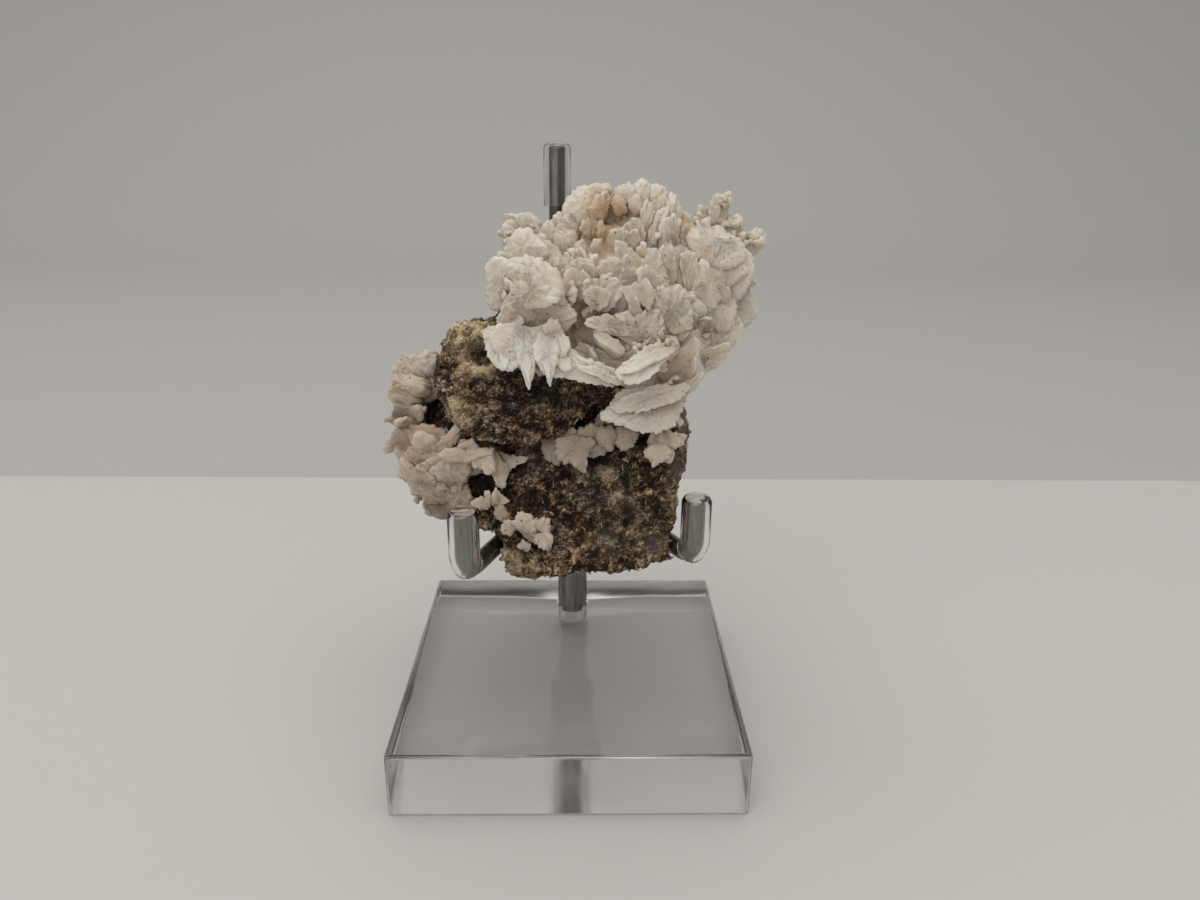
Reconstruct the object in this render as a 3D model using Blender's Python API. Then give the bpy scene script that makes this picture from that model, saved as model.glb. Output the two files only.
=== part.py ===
"""White bladed calcite on brown matrix, held by a three-armed display stand.

Metres, +Z up. The origin is the centre of the acrylic base's underside, -Y is the front of the stand,
and the specimen leans back against the upright rod.
"""

import math

import bmesh
import bpy
from mathutils import Vector, noise

MM = 0.001
GAP = 0.35 * MM

# Acrylic base
BASE_SIDE = 63.5 * MM
BASE_THICK = 12.7 * MM
BASE_EDGE = 0.4 * MM

# Post and hub
POST_RADIUS = 3.175 * MM
POST_Y = 20.2 * MM
POST_SOCKET_DEPTH = 8.0 * MM
HUB_RADIUS = 6.2 * MM
HUB_BOTTOM = 37.5 * MM
HUB_TOP = 51.0 * MM
HUB_EDGE = 0.8 * MM
HUB_POST_HOLE = 4.2 * MM
HUB_ROD_HOLE = 4.0 * MM
HUB_ARM_HOLE = 3.2 * MM
HOLE_CLEARANCE = 0.25 * MM
# How far a cutter runs past the surface that it opens
CUTTER_EXCESS = 5 * MM
CUTTER_SIDES = 12
HOLE_SIDES = 16

# Rods: one upright behind the specimen, two arms bent up at their front ends
ROD_RADIUS = 1.5875 * MM
BACK_ROD_X = -3.0 * MM
BACK_ROD_TOP = 110.2 * MM
ARM_Z = 44.0 * MM
ARM_BEND_RADIUS = 4.0 * MM
PRONG_TOP = 54.8 * MM
LEFT_PRONG = (-17.3 * MM, -25.0 * MM)
RIGHT_PRONG = (21.4 * MM, -19.0 * MM)

# Clear vinyl tips pushed over the rod ends
TIP_RADIUS = 2.6 * MM
TIP_BORE = 1.82 * MM
TIP_END_WALL = 1.4 * MM
TIP_SIDES = 16
BACK_TIP_LENGTH = 10.5 * MM
TIP_ROUND_BEND = math.radians(45)

# The specimen leans back: its front plane starts at FRONT_Y at the height FRONT_Z
FRONT_Y = -19.5 * MM
FRONT_Z = 40.0 * MM
LEAN = 0.30


def leaning(x, depth, z):
    """A point given in millimetres as x, depth behind the specimen's leaning front plane, and z."""
    return Vector((x * MM, FRONT_Y + LEAN * (z * MM - FRONT_Z) + depth * MM, z * MM))


def clear_scene():
    for obj in list(bpy.data.objects):
        bpy.data.objects.remove(obj)


def material(name, colour, roughness, metallic=0.0, transmission=0.0):
    made = bpy.data.materials.new(name)
    made.use_nodes = True
    shader = made.node_tree.nodes["Principled BSDF"]
    shader.inputs["Base Color"].default_value = (*colour, 1.0)
    shader.inputs["Roughness"].default_value = roughness
    shader.inputs["Metallic"].default_value = metallic
    shader.inputs["Transmission Weight"].default_value = transmission
    made.diffuse_color = (*colour, 1.0)
    return made


def add_object(name, data, finish=None):
    obj = bpy.data.objects.new(name, data)
    bpy.context.scene.collection.objects.link(obj)
    if finish is not None:
        data.materials.append(finish)
    return obj


def mesh_from(name, form):
    mesh = bpy.data.meshes.new(name)
    form.to_mesh(mesh)
    form.free()
    return mesh


def bake(obj):
    """Turns the object's modifiers into its mesh."""
    bpy.context.view_layer.update()
    graph = bpy.context.evaluated_depsgraph_get()
    baked = bpy.data.meshes.new_from_object(obj.evaluated_get(graph))
    obj.modifiers.clear()
    obj.data = baked


def keep_largest_body(obj):
    """Drops the loose chips that a cut leaves behind."""
    form = bmesh.new()
    form.from_mesh(obj.data)
    left = set(form.verts)
    bodies = []
    while left:
        stack = [left.pop()]
        body = set(stack)
        while stack:
            for edge in stack.pop().link_edges:
                for vert in edge.verts:
                    if vert in left:
                        left.remove(vert)
                        body.add(vert)
                        stack.append(vert)
        bodies.append(body)
    bodies.sort(key=len, reverse=True)
    for body in bodies[1:]:
        bmesh.ops.delete(form, geom=list(body), context="VERTS")
    form.to_mesh(obj.data)
    form.free()


def cut(obj, cutters, solver="EXACT"):
    """Takes the cutters out of the object, and removes them."""
    for cutter in cutters:
        boolean = obj.modifiers.new("cut", "BOOLEAN")
        boolean.operation = "DIFFERENCE"
        boolean.solver = solver
        boolean.object = cutter
        bake(obj)
        keep_largest_body(obj)
    for cutter in cutters:
        bpy.data.objects.remove(cutter)


def cylinder_between(name, start, end, radius, sides=24, finish=None):
    form = bmesh.new()
    axis = end - start
    bmesh.ops.create_cone(
        form, cap_ends=True, segments=sides, radius1=radius, radius2=radius, depth=axis.length
    )
    form.transform(axis.to_track_quat("Z", "Y").to_matrix().to_4x4())
    bmesh.ops.translate(form, verts=form.verts, vec=(start + end) / 2)
    return add_object(name, mesh_from(name, form), finish)


def inflated(obj, by):
    """A copy of a mesh object with its surface moved outwards, to cut with."""
    copy = add_object(obj.name + "_clearance", obj.data.copy())
    copy.data.materials.clear()
    normals = [vert.normal.copy() for vert in copy.data.vertices]
    for vert, normal in zip(copy.data.vertices, normals):
        vert.co += normal * by
    return copy


# Stand


def arm_path(prong):
    """Centreline of an arm, from inside the hub to the top of its prong, and the tip's share of it."""
    foot = Vector((prong[0], prong[1], ARM_Z))
    hub = Vector((0.0, POST_Y, ARM_Z))
    out = (foot - hub).normalized()
    start = hub + out * (HUB_RADIUS - HUB_ARM_HOLE + GAP)
    centre = foot - out * ARM_BEND_RADIUS + Vector((0, 0, ARM_BEND_RADIUS))
    arc = []
    steps = 8
    for step in range(steps + 1):
        angle = math.pi / 2 * step / steps
        arc.append(centre + ARM_BEND_RADIUS * (out * math.sin(angle) - Vector((0, 0, math.cos(angle)))))
    top = Vector((foot.x, foot.y, PRONG_TOP))
    covered = math.pi / 2 - TIP_ROUND_BEND
    first = math.ceil(covered / (math.pi / 2) * steps)
    return [start, *arc, top], [*arc[first:], top]


def rod(name, path, radius, finish):
    curve = bpy.data.curves.new(name, "CURVE")
    curve.dimensions = "3D"
    curve.bevel_depth = radius
    curve.bevel_resolution = 4
    curve.use_fill_caps = True
    line = curve.splines.new("POLY")
    line.points.add(len(path) - 1)
    for point, place in zip(line.points, path):
        point.co = (*place, 1.0)
    return add_object(name, curve, finish)


def rings_along(form, path, radius, sides=TIP_SIDES):
    """One ring of vertices at each point of a path that lies in a vertical plane."""
    side = (path[-1] - path[0]).cross(path[1] - path[0])
    side = side.normalized() if side.length > 1e-12 else Vector((1, 0, 0))
    rings = []
    for index, place in enumerate(path):
        before = path[max(index - 1, 0)]
        after = path[min(index + 1, len(path) - 1)]
        ahead = (after - before).normalized()
        other = ahead.cross(side).normalized()
        ring = []
        for corner in range(sides):
            angle = 2 * math.pi * corner / sides
            ring.append(form.verts.new(place + radius * (side * math.cos(angle) + other * math.sin(angle))))
        rings.append(ring)
    return rings


def bridge(form, first, second):
    sides = len(first)
    for corner in range(sides):
        after = (corner + 1) % sides
        form.faces.new((first[corner], first[after], second[after], second[corner]))


def vinyl_tip(name, path, finish):
    """A closed-end sleeve over the last stretch of a rod, with a domed end."""
    form = bmesh.new()
    top = path[-1]
    outer = rings_along(form, path, TIP_RADIUS)
    for angle in (math.radians(35), math.radians(65)):
        place = top + Vector((0, 0, TIP_END_WALL * math.sin(angle)))
        ring = []
        for vert in outer[len(path) - 1]:
            ring.append(form.verts.new(place + (vert.co - top) * math.cos(angle)))
        outer.append(ring)
    inner = rings_along(form, path, TIP_BORE)
    shoulder = Vector((0, 0, GAP))
    for vert in inner[-1]:
        vert.co += shoulder
    for first, second in zip(outer, outer[1:]):
        bridge(form, first, second)
    for first, second in zip(inner, inner[1:]):
        bridge(form, second, first)
    bridge(form, inner[0], outer[0])
    form.faces.new(outer[-1])
    form.faces.new(list(reversed(inner[-1])))
    bmesh.ops.recalc_face_normals(form, faces=form.faces)
    return add_object(name, mesh_from(name, form), finish)


def build_stand(steel, acrylic, vinyl):
    form = bmesh.new()
    bmesh.ops.create_cube(form, size=1.0)
    bmesh.ops.scale(form, vec=(BASE_SIDE, BASE_SIDE, BASE_THICK), verts=form.verts)
    bmesh.ops.translate(form, vec=(0, 0, BASE_THICK / 2), verts=form.verts)
    base = add_object("base", mesh_from("base", form), acrylic)
    bevel = base.modifiers.new("edges", "BEVEL")
    bevel.width = BASE_EDGE
    bake(base)
    post_foot = Vector((0, POST_Y, BASE_THICK - POST_SOCKET_DEPTH))
    above = Vector((0, 0, CUTTER_EXCESS))
    socket_end = Vector((0, POST_Y, BASE_THICK)) + above
    cut(base, [cylinder_between("socket", post_foot, socket_end, POST_RADIUS + HOLE_CLEARANCE)])

    lift = Vector((0, 0, GAP))
    post_top = Vector((0, POST_Y, HUB_BOTTOM + HUB_POST_HOLE))
    cylinder_between("post", post_foot + lift, post_top - lift, POST_RADIUS, finish=steel)

    hub_low = Vector((0, POST_Y, HUB_BOTTOM))
    hub = cylinder_between("hub", hub_low, Vector((0, POST_Y, HUB_TOP)), HUB_RADIUS, finish=steel)
    bevel = hub.modifiers.new("edges", "BEVEL")
    bevel.width = HUB_EDGE
    bevel.limit_method = "ANGLE"
    bake(hub)
    rod_foot = Vector((BACK_ROD_X, POST_Y, HUB_TOP - HUB_ROD_HOLE))
    holes = [
        cylinder_between("post_hole", hub_low - above, post_top, POST_RADIUS + HOLE_CLEARANCE),
        cylinder_between("rod_hole", rod_foot, rod_foot + 2 * above, ROD_RADIUS + HOLE_CLEARANCE, HOLE_SIDES),
    ]
    for prong in (LEFT_PRONG, RIGHT_PRONG):
        arm, _ = arm_path(prong)
        out = (arm[1] - arm[0]).normalized()
        start = arm[0] - out * GAP
        end = start + out * 2 * HUB_ARM_HOLE
        holes.append(cylinder_between("arm_hole", start, end, ROD_RADIUS + HOLE_CLEARANCE, HOLE_SIDES))
    cut(hub, holes)

    back_top = Vector((BACK_ROD_X, POST_Y, BACK_ROD_TOP))
    rod("back_rod", [rod_foot + lift, back_top], ROD_RADIUS, steel)
    back_tip_foot = back_top - Vector((0, 0, BACK_TIP_LENGTH))
    middle = (back_tip_foot + back_top) / 2
    vinyl_tip("tip_back", [back_tip_foot, middle, back_top], vinyl)
    for side, prong in (("left", LEFT_PRONG), ("right", RIGHT_PRONG)):
        whole, covered = arm_path(prong)
        rod("arm_" + side, whole, ROD_RADIUS, steel)
        vinyl_tip("tip_" + side, covered, vinyl)


def stand_clearance():
    """Cutters a little larger than the stand's pieces that the specimen rests against."""
    cutters = []
    more = ROD_RADIUS + GAP
    for prong in (LEFT_PRONG, RIGHT_PRONG):
        path, covered = arm_path(prong)
        cutters.append(cylinder_between("arm_room", path[0], path[1], more, CUTTER_SIDES))
        low = Vector((prong[0], prong[1], ARM_Z - ARM_BEND_RADIUS))
        high = Vector((prong[0], prong[1], PRONG_TOP + TIP_END_WALL + GAP))
        cutters.append(cylinder_between("prong_room", low, high, TIP_RADIUS + GAP, CUTTER_SIDES))
    back = Vector((BACK_ROD_X, POST_Y, 0))
    low = back + Vector((0, 0, HUB_BOTTOM))
    tip_low = back + Vector((0, 0, BACK_ROD_TOP - BACK_TIP_LENGTH - GAP))
    high = back + Vector((0, 0, BACK_ROD_TOP + CUTTER_EXCESS))
    cutters.append(cylinder_between("rod_room", low, high, more, CUTTER_SIDES))
    cutters.append(cylinder_between("tip_room", tip_low, high, TIP_RADIUS + GAP, CUTTER_SIDES))
    return cutters


# Specimen

# Corners of the rock's main masses, as x, depth behind the front plane, and z
KEEL = (
    (-11.9, 0, 39.2), (-3, -0.4, 39.9), (5.2, 0, 40.4), (12, 0.8, 40.6), (19.0, 1.6, 41.8),
    (-8.0, 6, 42.6), (12.6, 7, 42.8), (0, 16, 46.2), (-12.5, 1, 50), (18.3, 3, 50), (-5, 15, 50),
    (9, 15, 50),
)
LOWER_BLOCK = (
    (-16.0, 1.2, 46.6), (-12.9, 0.4, 46.5), (18.6, 3, 46.6), (18.9, 4, 50), (20.5, 5, 56.7),
    (21.6, 7, 63.8), (21.1, 8, 67.5), (-12, 1.8, 52), (-6, 0.8, 55), (5, -0.4, 52), (13, 0.4, 56),
    (10, 3, 63), (-8, 5, 60), (-13, 20, 48.6), (17.5, 20, 48.6), (2, 26, 50), (18, 25, 66),
    (-12, 26, 66),
)
LEFT_FLANK = (
    (-16.0, 1.4, 46.8), (-21.2, 8, 49.5), (-26, 13, 53.5), (-28.5, 16, 60), (-27.5, 16, 69),
    (-17, 6, 52), (-18, 9, 59), (-12, 7, 57), (-12, 22, 49.5), (-23, 24, 56), (-24, 25, 70),
    (-10, 26, 70), (-12, 9, 68),
)
LEDGE = (
    (-21.1, 6, 81.3), (-14.4, 6, 82.0), (-7, 8, 82.5), (-23.6, 5, 76.5), (-24.4, 2.4, 71.7),
    (-21.5, 1.2, 67), (-17.1, -0.8, 63.6), (-8.6, -1.8, 62.0), (-1.8, -1.0, 63.7), (7.1, 1, 70.0),
    (-14, -1.6, 70), (-7, -2.2, 68), (1, -0.6, 73), (-5, 9, 63.0), (-15, 9, 64), (-22, 20, 78),
    (-22, 18, 66), (6, 16, 70), (4, 14, 80), (-10, 2.4, 78),
)
REAR_SUPPORT = (
    (-14, 12, 80), (12, 10, 78), (20, 12, 70), (20, 23, 72), (-18, 26, 70), (-13, 24, 84), (10, 24, 86),
    (18, 24, 74), (15, 9, 64), (-10, 10, 66), (10, 28, 58), (-14, 28, 58),
)
ROCK_MASSES = (KEEL, LOWER_BLOCK, LEFT_FLANK, LEDGE, REAR_SUPPORT)
ROCK_VOXEL = 1.25 * MM
ROCK_SHARE = 0.17
ROCK_ROUGHNESS = 0.9 * MM
ROCK_GRAIN = 4.5 * MM

# Each lump of calcite is x, depth, z and its half sizes along x, y and z
ROSETTE_LUMPS = (
    (8, 11, 83, 19, 12, 13), (9, 13, 94.6, 11.2, 9, 9.6), (-7, 8, 86.5, 7, 8, 8.5),
    (23, 13, 87.5, 8.5, 9, 10.5), (18, 9, 75, 8, 7, 9), (-6.6, 3, 78, 8, 5.5, 5),
    (-6, 11, 93.5, 6, 6, 4.5), (12.5, 5, 69, 6, 5, 6),
)
# Each blade is its middle as x, depth, z, its half length, width and thickness, its turn in the picture
# plane, and its tilt out of that plane, in degrees
ROSETTE_BLADES = (
    (13, -1.0, 78, 7.5, 4.0, 1.2, 28, 25), (15, 0.5, 85, 8.0, 5.5, 1.3, 8, 15),
    (21, 5, 82, 7, 5.5, 1.3, -60, 20), (26, 11, 81, 6, 4.2, 1.3, -55, 20),
    (14, 3.5, 70.5, 8.5, 5.5, 1.3, 35, 20), (8, 4.5, 65.5, 5, 3, 1.2, 60, 30),
    (27.2, 15, 98, 6, 2.2, 1.3, 75, 10), (32, 15, 93, 5.5, 2.2, 1.3, 40, 15),
    (29, 15, 95, 5, 2.6, 1.3, 60, -15), (-12, 1.5, 79.5, 4.5, 2.2, 1.5, 105, 10),
    (-8.5, -0.6, 76.2, 4.8, 1.8, 1.4, 95, 5), (4, 1.2, 74.6, 6, 3.2, 1.6, -12, 40),
    (-4.4, -0.8, 76, 5.2, 2.0, 1.4, 80, 0), (-6, 0.5, 86, 6.5, 5.5, 1.6, 40, 20),
    (-11.4, 5, 88, 5.5, 4.5, 1.4, 80, -10), (29.5, 11, 89, 6, 4.0, 1.4, 80, -25),
    (4, 1.5, 90, 6, 3.5, 1.4, 15, 50), (15, 5, 94, 6, 3.5, 1.6, 60, 30),
    (1, 1.5, 84, 6, 4.5, 1.6, 10, 35),
)
CRUST_LUMPS = (
    (-29.0, 16, 69.4, 3.6, 6, 3.8), (-30.2, 16.5, 64.0, 3.8, 6.5, 5), (-29.5, 15, 58.5, 4.6, 7, 5),
    (-25.5, 10.5, 54, 5.4, 6.5, 5.4), (-22.8, 10, 49.4, 3.6, 5, 3.6), (-26.2, 13.5, 68.5, 3.4, 5, 4.2),
    (-23.5, 8.5, 59.4, 4.4, 4.6, 3.6), (-18.8, 6.6, 56.8, 3.6, 4, 3.2), (-20.0, 7, 52.6, 3.4, 4, 3.4),
)
CRUST_BLADES = (
    (-31, 14, 62.5, 3.5, 3.5, 1.0, 10, 60), (-27, 9.5, 60.0, 5.5, 3.5, 1.0, -35, 55),
    (-22.5, 6, 60.2, 5.0, 3.5, 1.0, 30, 55), (-17.4, 3.6, 58.2, 4.4, 3.0, 1.0, -50, 50),
    (-29.5, 11.5, 55.5, 4.5, 3.2, 1.0, -25, 50), (-31, 13, 68.0, 3.2, 3.0, 1.2, 20, 50),
)
LEDGE_CRYSTALS = (
    (2.0, 2.0, 60.6, 4.4, 2.6, 1.2, -70, 15), (4.6, 2.2, 60.8, 4.0, 2.2, 1.2, -115, 20),
    (0.6, 3.0, 62.8, 4.0, 2.6, 1.2, 15, 20), (7.0, 4.0, 64.2, 4.6, 2.8, 1.3, 0, 20),
    (10.6, 5.0, 64.4, 3.4, 2.4, 1.2, 30, 20),
)
RIGHT_FLORET = (
    (16.6, 2.6, 60.4, 3.2, 2.2, 1.3, -70, 10), (14.8, 2.9, 63.0, 3.2, 2.0, 1.3, 60, 10),
    (18.2, 3.4, 62.6, 3.2, 1.8, 1.3, 15, 10),
)
LOWER_SPRIG = (
    (-8.0, 0.2, 49.4, 3.2, 2.0, 1.4, 10, 10), (-5.8, -0.2, 48.2, 3.4, 2.2, 1.6, -40, 10),
    (-4.6, -0.2, 46.6, 2.6, 1.8, 1.5, -80, 10), (-6.8, 0.2, 47.4, 2.6, 1.8, 1.4, -30, 10),
)
SMALL_SPRIG = (
    (-12.2, 1.0, 52.4, 2.6, 1.5, 1.2, 10, 20), (-13.0, 1.2, 53.4, 2.4, 1.4, 1.2, 70, 20),
)
ROSETTE_VOXEL = 0.95 * MM
ROSETTE_SHARE = 0.145
CRUST_SHARE = 0.13
SMALL_VOXEL = 0.6 * MM
SMALL_SHARE = 0.2
CALCITE_ROUGHNESS = 0.35 * MM
CALCITE_GRAIN = 2.0 * MM
# The thinned crystal surfaces cross themselves at thin blades, where the exact solver loses the body
CRYSTAL_SOLVER = "MANIFOLD"


def hull(form, corners):
    verts = [form.verts.new(leaning(*corner)) for corner in corners]
    made = bmesh.ops.convex_hull(form, input=verts)
    spare = [item for item in made["geom_interior"] if isinstance(item, bmesh.types.BMVert)]
    bmesh.ops.delete(form, geom=spare, context="VERTS")


def lump(form, x, depth, z, half_x, half_y, half_z):
    made = bmesh.ops.create_icosphere(form, subdivisions=2, radius=1.0)
    for vert in made["verts"]:
        vert.co = leaning(x, depth, z) + MM * Vector((vert.co.x * half_x, vert.co.y * half_y, vert.co.z * half_z))


def blade(form, x, depth, z, half_length, half_width, half_thick, turn, tilt):
    """A lens-shaped plate. Its length is turned in the picture plane, and the plate tilts about its length."""
    turn = math.radians(turn)
    tilt = math.radians(tilt)
    along = Vector((math.cos(turn), 0, math.sin(turn)))
    flat = Vector((-math.sin(turn), 0, math.cos(turn)))
    facing = Vector((0, -1, 0))
    across = flat * math.cos(tilt) + facing * math.sin(tilt)
    normal = along.cross(across)
    made = bmesh.ops.create_icosphere(form, subdivisions=2, radius=1.0)
    for vert in made["verts"]:
        local = vert.co.copy()
        vert.co = leaning(x, depth, z) + MM * (
            along * local.x * half_length + across * local.y * half_width + normal * local.z * half_thick
        )


def roughen(mesh, amount, size):
    moves = []
    for vert in mesh.vertices:
        place = vert.co / size
        height = noise.noise(place) + 0.5 * noise.noise(place * 2.1)
        moves.append(vert.normal * height * amount)
    for vert, move in zip(mesh.vertices, moves):
        vert.co += move


def weathered(name, form, voxel, share, amount, size, finish):
    """One closed surface around overlapping masses, roughened and thinned to a share of its faces."""
    obj = add_object(name, mesh_from(name, form))
    remesh = obj.modifiers.new("union", "REMESH")
    remesh.mode = "VOXEL"
    remesh.voxel_size = voxel
    bake(obj)
    roughen(obj.data, amount, size)
    thin = obj.modifiers.new("thin", "DECIMATE")
    thin.ratio = share
    bake(obj)
    keep_largest_body(obj)
    obj.data.materials.append(finish)
    return obj


def rock(finish):
    form = bmesh.new()
    for corners in ROCK_MASSES:
        hull(form, corners)
    obj = weathered("matrix", form, ROCK_VOXEL, ROCK_SHARE, ROCK_ROUGHNESS, ROCK_GRAIN, finish)
    cut(obj, stand_clearance(), CRYSTAL_SOLVER)
    return obj


def calcite(name, lumps, blades, voxel, share, finish, neighbours, near_stand=False):
    """A cluster of grown-together crystals, cut to sit on the pieces that it grew on."""
    form = bmesh.new()
    for values in lumps:
        lump(form, *values)
    for values in blades:
        blade(form, *values)
    obj = weathered(name, form, voxel, share, CALCITE_ROUGHNESS, CALCITE_GRAIN, finish)
    cut(obj, [inflated(neighbour, GAP * 1.4) for neighbour in neighbours], CRYSTAL_SOLVER)
    if near_stand:
        cut(obj, stand_clearance(), CRYSTAL_SOLVER)
    return obj


def main():
    clear_scene()
    steel = material("steel", (0.42, 0.41, 0.40), 0.28, metallic=1.0)
    acrylic = material("acrylic", (0.93, 0.94, 0.94), 0.03, transmission=1.0)
    vinyl = material("vinyl", (0.9, 0.9, 0.89), 0.1, transmission=1.0)
    limestone = material("limestone", (0.16, 0.115, 0.075), 0.9)
    white = material("calcite_white", (0.80, 0.76, 0.69), 0.5)
    peach = material("calcite_peach", (0.74, 0.64, 0.54), 0.5)
    build_stand(steel, acrylic, vinyl)
    matrix = rock(limestone)
    rosette = calcite("upper_rosette", ROSETTE_LUMPS, ROSETTE_BLADES, ROSETTE_VOXEL, ROSETTE_SHARE,
                      white, [matrix], near_stand=True)
    calcite("left_crust", CRUST_LUMPS, CRUST_BLADES, SMALL_VOXEL * 1.3, CRUST_SHARE, peach, [matrix],
            near_stand=True)
    small = (
        ("ledge_crystals", LEDGE_CRYSTALS, white), ("right_floret", RIGHT_FLORET, white),
        ("lower_sprig", LOWER_SPRIG, peach), ("small_sprig", SMALL_SPRIG, peach),
    )
    for name, blades, finish in small:
        calcite(name, (), blades, SMALL_VOXEL, SMALL_SHARE, finish, [matrix, rosette])


main()
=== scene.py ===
"""The looks of the white bladed calcite specimen and its display stand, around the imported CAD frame."""

import itertools
import math

import bmesh
import bpy
import numpy as np
from mathutils import Matrix, Vector
from mathutils.bvhtree import BVHTree


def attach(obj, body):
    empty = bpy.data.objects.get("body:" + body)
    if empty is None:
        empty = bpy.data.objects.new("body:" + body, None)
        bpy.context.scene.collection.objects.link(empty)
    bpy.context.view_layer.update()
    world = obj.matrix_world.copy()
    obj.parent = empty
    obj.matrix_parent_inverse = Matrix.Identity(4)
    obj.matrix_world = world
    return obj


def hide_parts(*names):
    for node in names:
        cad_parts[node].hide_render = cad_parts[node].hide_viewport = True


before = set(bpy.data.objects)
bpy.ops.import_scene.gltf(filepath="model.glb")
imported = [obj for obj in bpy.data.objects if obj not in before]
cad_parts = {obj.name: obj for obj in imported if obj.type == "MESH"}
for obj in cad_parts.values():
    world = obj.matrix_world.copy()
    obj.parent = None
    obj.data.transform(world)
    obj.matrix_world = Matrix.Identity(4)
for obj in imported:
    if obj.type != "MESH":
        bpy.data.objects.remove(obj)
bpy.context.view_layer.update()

MM = 0.001

# Camera, fitted to the corners of the acrylic block. Lengths are millimetres until a mesh is made.
CAMERA_PLACE = np.array((1.89, -157.1, 114.16))
CAMERA_PITCH = math.radians(19.99)
CAMERA_YAW = math.radians(-1.26)
CAMERA_ROLL = math.radians(0.70)
CAMERA_LENS = 26.73
SENSOR_WIDTH = 36.0
PHOTO_WIDTH, PHOTO_HEIGHT = 1200, 900

# Stand, in millimetres, as the CAD has it
POST_Y = 20.2
ROD_RADIUS = 1.5875
TIP_RADIUS = 2.6
ARM_Z = 44.0
PRONG_TOP = 56.2
LEFT_PRONG = (-17.3, -25.0)
RIGHT_PRONG = (21.4, -19.0)
BACK_ROD_X = -3.0
BACK_ROD_TOP = 111.5
BACK_TIP_FOOT = 99.5
# How far the specimen's surface stays off the rods
STAND_ROOM = 0.2


# Camera


def camera_axes():
    """The camera's right, up and forward directions."""
    right = np.array((math.cos(CAMERA_YAW), math.sin(CAMERA_YAW), 0))
    level = np.array((-math.sin(CAMERA_YAW), math.cos(CAMERA_YAW), 0))
    forward = level * math.cos(CAMERA_PITCH) - np.array((0, 0, math.sin(CAMERA_PITCH)))
    up = np.cross(right, forward)
    rolled_right = right * math.cos(CAMERA_ROLL) + up * math.sin(CAMERA_ROLL)
    rolled_up = up * math.cos(CAMERA_ROLL) - right * math.sin(CAMERA_ROLL)
    return rolled_right, rolled_up, forward


CAMERA_RIGHT, CAMERA_UP, CAMERA_FORWARD = camera_axes()
PIXELS_PER_LENS = CAMERA_LENS / SENSOR_WIDTH * PHOTO_WIDTH


def sight_line(u, v):
    """Directions from the camera through pixels of the 1200 x 900 photograph."""
    across = np.asarray(u, dtype=float)[..., None] - PHOTO_WIDTH / 2
    down = np.asarray(v, dtype=float)[..., None] - PHOTO_HEIGHT / 2
    line = CAMERA_FORWARD * PIXELS_PER_LENS + CAMERA_RIGHT * across - CAMERA_UP * down
    return line / np.linalg.norm(line, axis=-1, keepdims=True)


def make_camera():
    data = bpy.data.cameras.new("camera")
    data.sensor_width = SENSOR_WIDTH
    data.lens = CAMERA_LENS
    data.clip_start = 0.005
    camera = bpy.data.objects.new("camera", data)
    bpy.context.scene.collection.objects.link(camera)
    axes = np.stack((CAMERA_RIGHT, CAMERA_UP, -CAMERA_FORWARD), axis=1)
    camera.matrix_world = Matrix.Translation(Vector(CAMERA_PLACE * MM)) @ Matrix(axes.tolist()).to_4x4()
    bpy.context.scene.camera = camera


# Noise


GRADIENTS = np.random.default_rng(3).normal(size=(256, 3))
GRADIENTS /= np.linalg.norm(GRADIENTS, axis=1, keepdims=True)
CORNERS = [np.array(corner) for corner in itertools.product((0, 1), repeat=3)]
NEIGHBOURS = [np.array(step) for step in itertools.product((-1, 0, 1), repeat=3)]


# Large factors that scatter neighbouring cells and seeds over all numbers of 32 bits
CELL_FACTORS = np.array((73856093, 19349663, 83492791))
SEED_FACTOR = 2654435761
FIRST_FACTOR = 2246822519
SECOND_FACTOR = 3266489917
ALL_BITS = 2**32 - 1
TEN_BITS = 2**10 - 1
TWELVE_BITS = 2**12 - 1


def scramble(cells, seed):
    """A whole number from 0 to ALL_BITS for each row of whole numbers."""
    mixed = cells @ CELL_FACTORS + seed * SEED_FACTOR
    mixed = (mixed ^ (mixed >> 15)) * FIRST_FACTOR & ALL_BITS
    mixed = (mixed ^ (mixed >> 13)) * SECOND_FACTOR & ALL_BITS
    return mixed ^ (mixed >> 16)


def noise(points, size, seed=0):
    """Smooth gradient noise, about -1 to 1, with features of the given size."""
    points = points / size
    cell = np.floor(points).astype(np.int64)
    part = points - cell
    fade = part**3 * (part * (part * 6 - 15) + 10)
    total = np.zeros(len(points))
    for corner in CORNERS:
        gradient = GRADIENTS[scramble(cell + corner, seed) & 255]
        weight = np.prod(np.where(corner, fade, 1 - fade), axis=1)
        total += weight * np.einsum("ij,ij->i", gradient, part - corner)
    return total * 1.6


def grains(points, size, seed=0):
    """Distance to the nearest random point, in cells of the given size, and that point's own number."""
    points = points / size
    cell = np.floor(points).astype(np.int64)
    nearest = np.full(len(points), 9.0)
    number = np.zeros(len(points))
    for step in NEIGHBOURS:
        mixed = scramble(cell + step, seed)
        place = np.stack([mixed >> shift & TEN_BITS for shift in (0, 10, 20)], axis=1) / TEN_BITS
        away = np.linalg.norm(cell + step + place - points, axis=1)
        closer = away < nearest
        nearest[closer] = away[closer]
        number[closer] = (mixed[closer] & TWELVE_BITS) / TWELVE_BITS
    return nearest, number


# Meshes


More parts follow.
